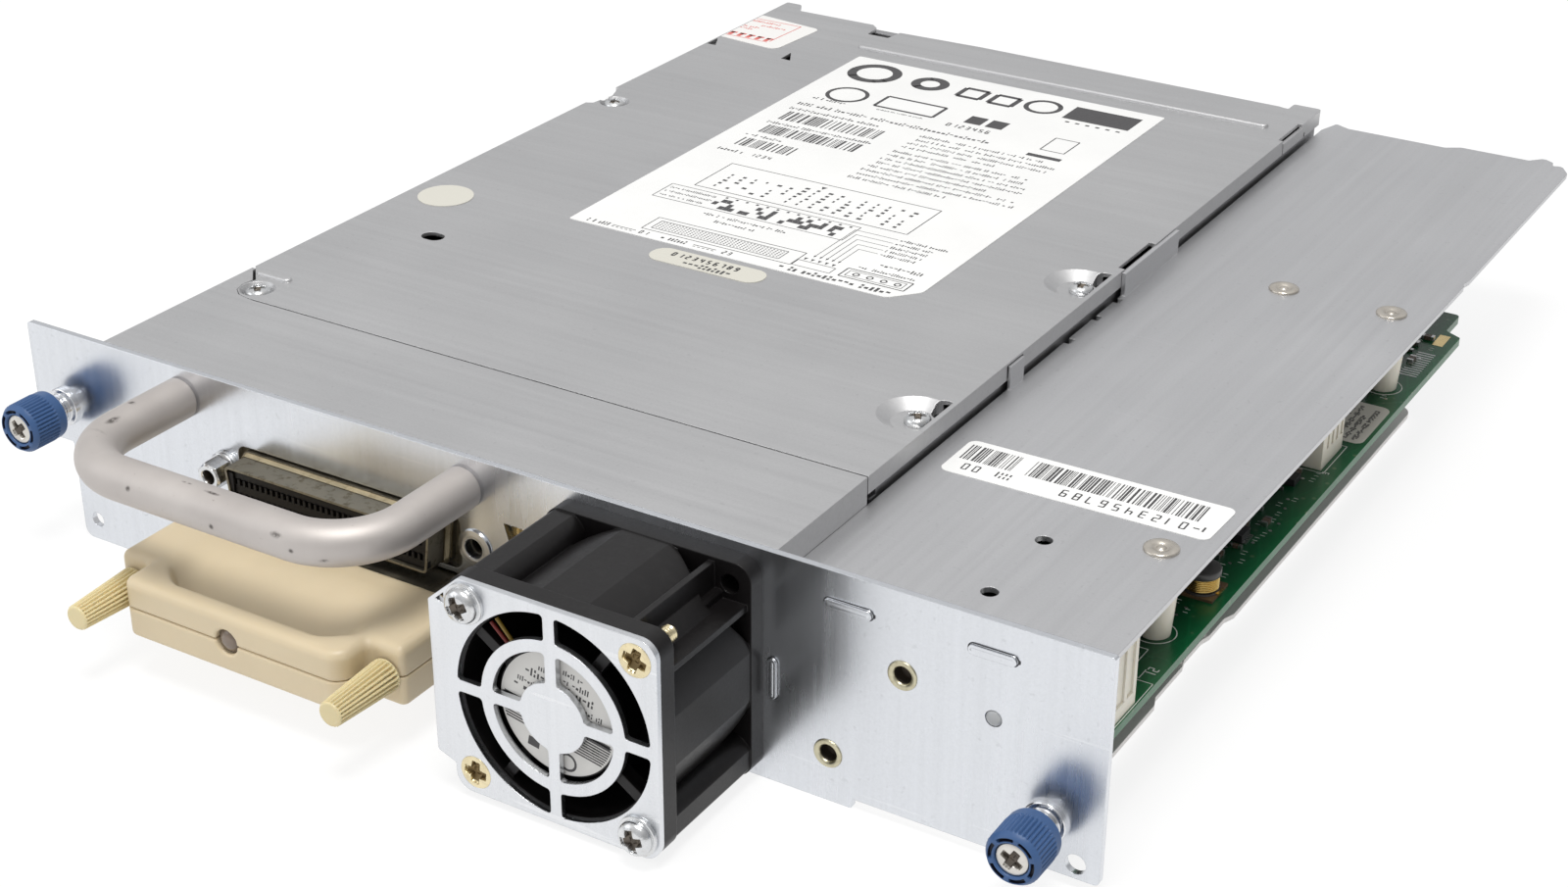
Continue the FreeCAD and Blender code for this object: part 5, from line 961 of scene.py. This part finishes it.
# framed field of small marks
P.frame(-155.2, 124.2, -103.7, 139.1, 0.24)
P.poly([(-131.6, 137.6), (-130.2, 137.6), (-130.9, 136.2)])
rr = random.Random(11)
for row in range(6):
    for c in range(16):
        if rr.random() < 0.78 and not (row < 1 and c < 6):
            u, v = -151.6 + 2.9 * c + rr.uniform(-0.1, 0.1), 134.6 - 1.75 * row
            P.rect(u, v, u + rr.choice((0.5, 0.8, 1.1)), v + 0.85)
# switch field
P.frame(-159.6, 114.6, -113.4, 122.4, 0.2)
for row in range(3):
    P.text(-158.8, 120.2 - 2.2 * row, 11.5, 1.0, 0.2)
for c in range(13):
    P.rect(-145.6 + 2.5 * c, 121.2, -145.0 + 2.5 * c, 121.9)
for row in range(3):
    for c in range(26):
        if rr.random() < 0.34 + 0.2 * (c > 15):
            P.rect(-146.6 + 1.22 * c, 115.4 + 1.75 * row, -145.42 + 1.22 * c, 117.1 + 1.75 * row)
P.text(-145.0, 111.4, 20.0, 1.25, 0.2)
P.text(-140.6, 108.8, 10.0, 1.25, 0.2)
# connector outline with its two rows of contacts
P.frame(-151.4, 98.6, -116.0, 105.2, 0.22)
P.frame(-149.8, 99.8, -119.4, 103.9, 0.22)
for row in range(5):
    for c in range(38):
        P.rect(-149.2 + 0.78 * c, 100.3 + 0.72 * row, -148.85 + 0.78 * c, 100.65 + 0.72 * row)
# leader lines
for k in range(5):
    P.line(-113.8 + 1.4 * k, 104.4 + 0.1 * k, -113.8 + 1.4 * k, 120.8 - 2.1 * k, 0.16)
    P.line(-113.8 + 1.4 * k, 120.8 - 2.1 * k, -103.8, 120.8 - 2.1 * k, 0.16)
    P.text(-103.2, 120.2 - 2.1 * k, 8.5 if k else 11.5, 1.15, 0.2)
    P.poly([(-114.1 + 1.4 * k, 105.0), (-113.5 + 1.4 * k, 105.0), (-113.8 + 1.4 * k, 104.0)])
    P.poly([(-115.2 + 1.6 * k, 103.2), (-114.4 + 1.6 * k, 103.2), (-114.8 + 1.6 * k, 102.0)])
P.frame(-115.8, 98.9, -107.2, 101.6, 0.2)
P.text(-100.6, 107.0, 9.6, 1.6, 0.18)
P.text(-103.8, 104.2, 12.6, 1.15, 0.2)
P.frame(-105.2, 99.0, -90.6, 103.2, 0.3); P.frame(-104.2, 99.8, -91.6, 102.4, 0.18)
for k in range(4):
    P.ring(-102.3 + 3.1 * k, 101.1, 0.45, 0.8, 12)
# lower edge: values and a heavier line
P.text(-163.4, 96.0, 5.6, 1.5, 0.2); P.line(-157.4, 96.9, -151.6, 96.9, 0.22)
for k in range(5):
    P.rect(-157.2 + 1.1 * k, 96.1, -156.6 + 1.1 * k, 96.35)
P.digits(-150.6, 96.0, "01", 1.6, 0.16); P.text(-145.2, 96.0, 6.4, 1.6, 0.2)
P.line(-137.6, 96.9, -132.2, 96.9, 0.22)
for k in range(5):
    P.rect(-137.4 + 1.1 * k, 96.1, -136.8 + 1.1 * k, 96.35)
P.digits(-130.6, 96.0, "23", 1.6, 0.16)
P.text(-117.4, 95.9, 25.6, 2.0, 0.26, gap=0.1)
piece("main_label_print", P, "ink", "module", angle=30)

# bar-code label on the bay cover; its print reads from the far side
A = radians(0.9)
def bar_plane(u, v, h):
    return (-54.9 + u * cos(A) - v * sin(A), 47.2 + u * sin(A) + v * cos(A), 36.37 + h)
P = Print(bar_plane, -0.02, 0.012, 9)
P.bars(1.3, 5.4, 11.5, 11.1, 0.205)
P.bars(13.8, 5.4, 46.4, 11.1, 0.205)
T = Print(lambda u, v, h: bar_plane(-u, -v, h), -0.02, 0.012, 3)
T.digits(-44.6, -4.2, "0123456789", 2.5, 0.12, step=0.96)
T.text(-12.2, -4.2, 3.2, 2.2, 0.12, gap=0.0)
T.digits(-6.4, -4.2, "00", 2.3, 0.12, step=0.9)
T.text(-47.6, -4.2, 2.6, 2.4, 0.12, gap=0.0)
P.add(T.v, T.f, T.m)
piece("bar_label_print", P, "ink", "module", angle=30)

P = Print(lambda u, v, h: (u, v, TOP + h), -0.02, 0.012, 21)
P.digits(-138.6, 89.9, "0123456789", 1.9, 0.2, step=0.86)
P.text(-134.4, 87.2, 11.5, 2.0, 0.24, gap=0.0)
piece("pill_label_print", P, "ink", "module", angle=30)

P = Print(lambda u, v, h: (u, v, TOP + h), -0.02, 0.012, 33)
P.line(-204.3, 227.9, -191.3, 227.9, 0.28); P.line(-191.3, 227.9, -192.0, 214.0, 0.28)
for v, L, u0 in ((225.6, 8.0, -204.2), (223.2, 6.8, -200.2), (221.0, 5.0, -204.2), (219.4, 4.4, -204.2)):
    P.text(u0, v, L, 1.2, 0.26)
for k in range(5):
    P.rect(-204.2 + 2.6 * k, 213.6, -203.0 + 2.6 * k, 216.0)
    P.rect(-204.2 + 2.6 * k, 215.3, -202.4 + 2.6 * k, 216.2)
P.line(-204.3, 213.2, -192.2, 213.2, 0.26)
piece("corner_label_print", P, "ink_red", "module", angle=30)

# print on the round label of the fan hub
def hub_plane(u, v, h):
    a = radians(-11)
    return (FX + u * cos(a) - v * sin(a), -28.85 - h, FZ + u * sin(a) + v * cos(a))
P = Print(hub_plane, -0.02, 0.012, 41)
for k in range(9):
    v = -0.9 - 0.52 * k
    c = sqrt(max(0.1, 10.6 ** 2 - v * v))
    P.rect(-c, v - 0.30, c, v)
P.rect(-10.3, -1.4, 10.3, -0.6)
for u in (-8.2, -5.6, 5.4, 7.6):
    P.rect(u - 0.5, -3.7, u + 0.9, -2.3, 1)
P.rect(-4.6, -8.6, -2.4, -6.9)
P.ring(3.2, -8.0, 1.3, 1.75, 20)
for v, L, hh in ((7.9, 7.0, 1.0), (6.3, 10.5, 1.1), (4.5, 14.0, 1.5), (2.6, 16.5, 1.0), (1.0, 17.5, 1.6)):
    c = min(L / 2, sqrt(10.2 ** 2 - v * v) - 0.6)
    P.text(-c, v, 2 * c, hh, 0.18, gap=0.2)
piece("fan_label_print", P, ["ink", "fan_label_white"], "module", angle=30)

# ------------------------------------------------------------------ board: silkscreen, pads and small parts
BT = 20.5
P = Print(lambda u, v, h: (u, v, BT + h), -0.02, 0.015, 51)
T = Print(lambda u, v, h: (-v, u, BT + h), -0.02, 0.015, 52)       # print that runs along the board
P.frame(-12.4, 3.3, -4.7, 27.2, 0.16)
P.line(-13.6, 27.8, -7.4, 27.8, 0.16); P.line(-7.4, 27.8, -7.4, 30.6, 0.16)
P.frame(-15.8, 26.0, -9.6, 36.4, 0.16)
T.digits(8.6, 5.2, "1", 1.7, 0.12)
T.digits(29.2, 5.4, "12", 1.9, 0.12)
T.digits(109.6, 6.2, "3", 1.3, 0.12)
P.ring(-11.0, 42.0, 3.6, 3.8, 28); P.ring(-10.4, 150.8, 3.7, 3.9, 28)
P.frame(-14.6, 109.6, -7.2, 122.2, 0.16)
rb = random.Random(77)
for k in range(46):
    v = 50 + 2.9 * k + rb.uniform(-0.6, 0.6)
    if 54 < v < 64 or 108 < v < 143 or 146 < v < 156:
        continue
    u = -8.0 - rb.uniform(0, 5.0)
    P.rect(u, v, u + 0.9, v + 0.14); P.rect(u, v + 1.1, u + 0.9, v + 1.24)
P.add(T.v, T.f, T.m)
piece("board_silkscreen", P, "silk_white", "module", angle=30)
G = Print(lambda u, v, h: (u, v, BT + h), -0.02, 0.03, 53)
G.rect(-8.4, 174.8, -6.2, 180.4)
for k in range(12):
    G.rect(-9.6, 158.2 + 1.05 * k, -6.0, 158.55 + 1.05 * k, 1)
for k in range(30):
    v = 44.0 + 4.4 * k + rb.uniform(-1, 1)
    u = -7.0 - rb.uniform(0, 5.5)
    if 54 < v < 64 or 108 < v < 143 or 146 < v < 156:
        continue
    G.disc(u, v, 0.35, 10, 1)
piece("board_pads", G, ["contact_gold", "solder"], "module", angle=30)
# small chip parts: bodies with tinned ends
M = Mesh()
for k in range(34):
    v = 46.0 + 4.1 * k + rb.uniform(-0.8, 0.8)
    if 53 < v < 65 or 107 < v < 144 or 145 < v < 157 or 100 < v < 106:
        continue
    u = -9.0 - rb.uniform(0, 5.0)
    a, b, hh = rb.choice(((1.6, 0.8, 0.6), (1.0, 0.5, 0.45), (2.0, 1.25, 0.8)))
    if rb.random() < 0.5:
        M.box(u - a / 2 + 0.25, u + a / 2 - 0.25, v - b / 2, v + b / 2, BT - 0.02, BT + hh, 0)
        for s in (-1, 1):
            M.box(u + s * a / 2 - 0.3, u + s * a / 2 + 0.3, v - b / 2 - 0.01, v + b / 2 + 0.01, BT - 0.02, BT + hh + 0.02, 1)
    else:
        M.box(u - b / 2, u + b / 2, v - a / 2 + 0.25, v + a / 2 - 0.25, BT - 0.02, BT + hh, 0)
        for s in (-1, 1):
            M.box(u - b / 2 - 0.01, u + b / 2 + 0.01, v + s * a / 2 - 0.3, v + s * a / 2 + 0.3, BT - 0.02, BT + hh + 0.02, 1)
# leads of the chips near the edge
for cx, cy, w, l in ((-12.5, 79, 5, 4), (-16, 96, 5, 4), (-19.5, 60, 5, 4), (-13, 31.5, 4.2, 6.8)):
    for k in range(int(l / 0.65)):
        y = cy - l / 2 + 0.35 + 0.65 * k
        for s in (-1, 1):
            M.box(cx + s * (w / 2 + 0.35) - 0.4, cx + s * (w / 2 + 0.35) + 0.4, y - 0.13, y + 0.13, BT - 0.02, BT + 0.25, 1)
# crystal can between the connector and the rivet
M.box(-13.8, -10.6, 62.9, 66.3, BT - 0.02, BT + 1.1, 1)
piece("board_small_parts", M, ["chip_brown", "solder"], "module", angle=40)

# ------------------------------------------------------------------ inductor with its winding
M = Mesh()
o = (-9.9, 58.7, BT + 0.75)
M.lathe(o, "z", 1, [(0, 4.05), (2.9, 4.0), (3.2, 3.85), (3.3, 3.6), (3.3, 2.8), (3.15, 2.6), (2.3, 2.55), (2.3, 0.1), (3.3, 0.05), (3.35, -0.1), (3.35, -0.3), (0, -0.3)], 72, mat=0)
for k in range(7):
    z = 0.36 + 0.34 * k
    M.lathe((o[0], o[1], o[2] + z), "z", 1, [(2.85 + 0.2 * cos(a), 0.17 * sin(a)) for a in [2 * pi * j / 10 for j in range(10)]], 56, mat=1, closed=True)
M.box(-13.4, -6.4, 55.2, 62.2, BT - 0.01, BT + 0.55, 2)
for s in (-1, 1):
    M.box(-9.9 + s * 3.3 - 0.5, -9.9 + s * 3.3 + 0.5, 57.6, 59.8, BT + 0.5, BT + 0.8, 1)
piece("wound_inductor", M, ["ferrite", "copper_wire", "inductor_base"], "module", ["inductor"], angle=40)

# ------------------------------------------------------------------ tall white connector at the board's front corner
M = Mesh()
BT = 20.5
cy0, cy1 = 3.6, 20.8
M.box(-10.6, -4.95, cy0, cy1, BT, BT + 2.6)
M.box(-10.6, -9.6, cy0, cy1, BT + 2.6, 34.7)
M.box(-9.6, -4.95, cy0, cy0 + 1.2, BT + 2.6, 34.7)
M.box(-9.6, -4.95, cy1 - 1.2, cy1, BT + 2.6, 34.7)
M.box(-5.7, -5.3, cy0 + 1.2, cy1 - 1.2, BT + 2.6, 34.0)
for k in range(4):
    y = cy0 + 1.2 + 4.0 * k
    M.box(-5.3, -4.95, y - 0.55, y + 0.55, BT + 2.6, 34.4)
for k in range(3):
    for dx in (-8.4, -6.9):
        M.box(dx - 0.3, dx + 0.3, cy0 + 4.0 + 4.2 * k, cy0 + 4.6 + 4.2 * k, BT + 2.6, 31.0)
piece("front_header_housing", M, "nylon_white", "module", ["connector_front"])

# rows of plain ticks on the small sticker of the board
def sticker_plane(u, v, h):
    return (-14.0 + v, 124.2 + u, BT + 0.12 + h)
P = Print(sticker_plane, -0.01, 0.035, 41)
for v, L in ((1.5, 13.5), (3.1, 15.0), (4.7, 11.0), (6.3, 14.2)):
    P.text(1.2, v, L, 1.1, 0.24)
piece("board_sticker_print", P, "ink", "module", angle=30)


# ------------------------------------------------------------------ floor, light, camera
def floor_and_light():
    me = bpy.data.meshes.new("floor")
    me.from_pydata([(-6, -6, 0), (6, -6, 0), (6, 6, 0), (-6, 6, 0)], [], [(0, 1, 2, 3)])
    fl = bpy.data.objects.new("floor", me)
    bpy.context.scene.collection.objects.link(fl)
    n = NB("floor_paper")
    # lit white sweep: mostly its own light, so that only a faint shadow shows
    c = n.mix(n.ramp(n.noise(6, 3, 0.5), 0.3, 0.7), (0.16, 0.16, 0.16), (0.17, 0.17, 0.17))
    n.setv(n.b.inputs["Emission Color"], (1.0, 1.0, 1.0))
    n.b.inputs["Emission Strength"].default_value = 0.84
    fl.data.materials.append(n.done(c, 0.0, 0.9, spec=0.0))
    w = bpy.data.worlds.new("studio")
    bpy.context.scene.world = w
    w.use_nodes = True
    t = w.node_tree
    t.nodes.clear()
    out = t.nodes.new("ShaderNodeOutputWorld")
    bg = t.nodes.new("ShaderNodeBackground")
    tc = t.nodes.new("ShaderNodeTexCoord")
    sep = t.nodes.new("ShaderNodeSeparateXYZ")
    t.links.new(tc.outputs["Generated"], sep.inputs[0])
    ramp = t.nodes.new("ShaderNodeValToRGB")
    t.links.new(sep.outputs[2], ramp.inputs[0])
    e = ramp.color_ramp.elements
    e[0].position = 0.0; e[0].color = (0.60, 0.605, 0.615, 1)
    e[1].position = 0.35; e[1].color = (0.64, 0.643, 0.65, 1)
    e2 = e.new(0.65); e2.color = (0.76, 0.76, 0.765, 1)
    e3 = e.new(1.0); e3.color = (0.84, 0.84, 0.84, 1)
    # less light from the board's side
    side = t.nodes.new("ShaderNodeMapRange")
    side.interpolation_type = "SMOOTHSTEP"
    t.links.new(sep.outputs[0], side.inputs[0])
    side.inputs[1].default_value = 0.05
    side.inputs[2].default_value = 0.85
    side.inputs[3].default_value = 1.0
    side.inputs[4].default_value = 0.62
    mul = t.nodes.new("ShaderNodeVectorMath")
    mul.operation = "SCALE"
    t.links.new(ramp.outputs[0], mul.inputs[0])
    t.links.new(side.outputs[0], mul.inputs["Scale"])
    t.links.new(mul.outputs[0], bg.inputs[0])
    bg.inputs[1].default_value = 1.0
    t.links.new(bg.outputs[0], out.inputs[0])

    def area(name, loc, target, size, power, color=(1, 1, 1)):
        ld = bpy.data.lights.new(name, "AREA")
        ld.shape = "RECTANGLE"
        ld.size, ld.size_y = size
        ld.energy = power
        ld.color = color
        lo = bpy.data.objects.new(name, ld)
        bpy.context.scene.collection.objects.link(lo)
        lo.location = loc
        d = Vector(target) - Vector(loc)
        lo.rotation_euler = d.to_track_quat("-Z", "Y").to_euler()
        return lo
    area("key", (0.16, -0.34, 1.15), (0.0, 0.0, 0.0), (0.42, 0.34), 8.6, (1.0, 0.99, 0.97))
    area("fill", (-0.8, -0.7, 0.5), (0.0, -0.1, 0.02), (0.7, 0.7), 1.6, (0.96, 0.98, 1.0))

    az, el, roll = radians(31.283), radians(27.437), radians(0.293)
    d = Vector((-sin(az) * cos(el), cos(az) * cos(el), -sin(el)))
    r = d.cross(Vector((0, 0, 1))).normalized()
    u = r.cross(d)
    r2 = cos(roll) * r + sin(roll) * u
    u2 = -sin(roll) * r + cos(roll) * u
    cd = bpy.data.cameras.new("cam")
    cd.sensor_width = 36.0
    cd.lens = 2559.198 / 1600.0 * 36.0
    cam = bpy.data.objects.new("cam", cd)
    bpy.context.scene.collection.objects.link(cam)
    cam.matrix_world = Matrix(((r2.x, u2.x, -d.x, 0), (r2.y, u2.y, -d.y, 0), (r2.z, u2.z, -d.z, 0), (0, 0, 0, 1)))
    cam.location = W(119.997, -291.618, 238.492)
    cd.clip_start = 0.01
    bpy.context.scene.camera = cam
    bpy.context.scene.view_settings.view_transform = "Standard"

floor_and_light()
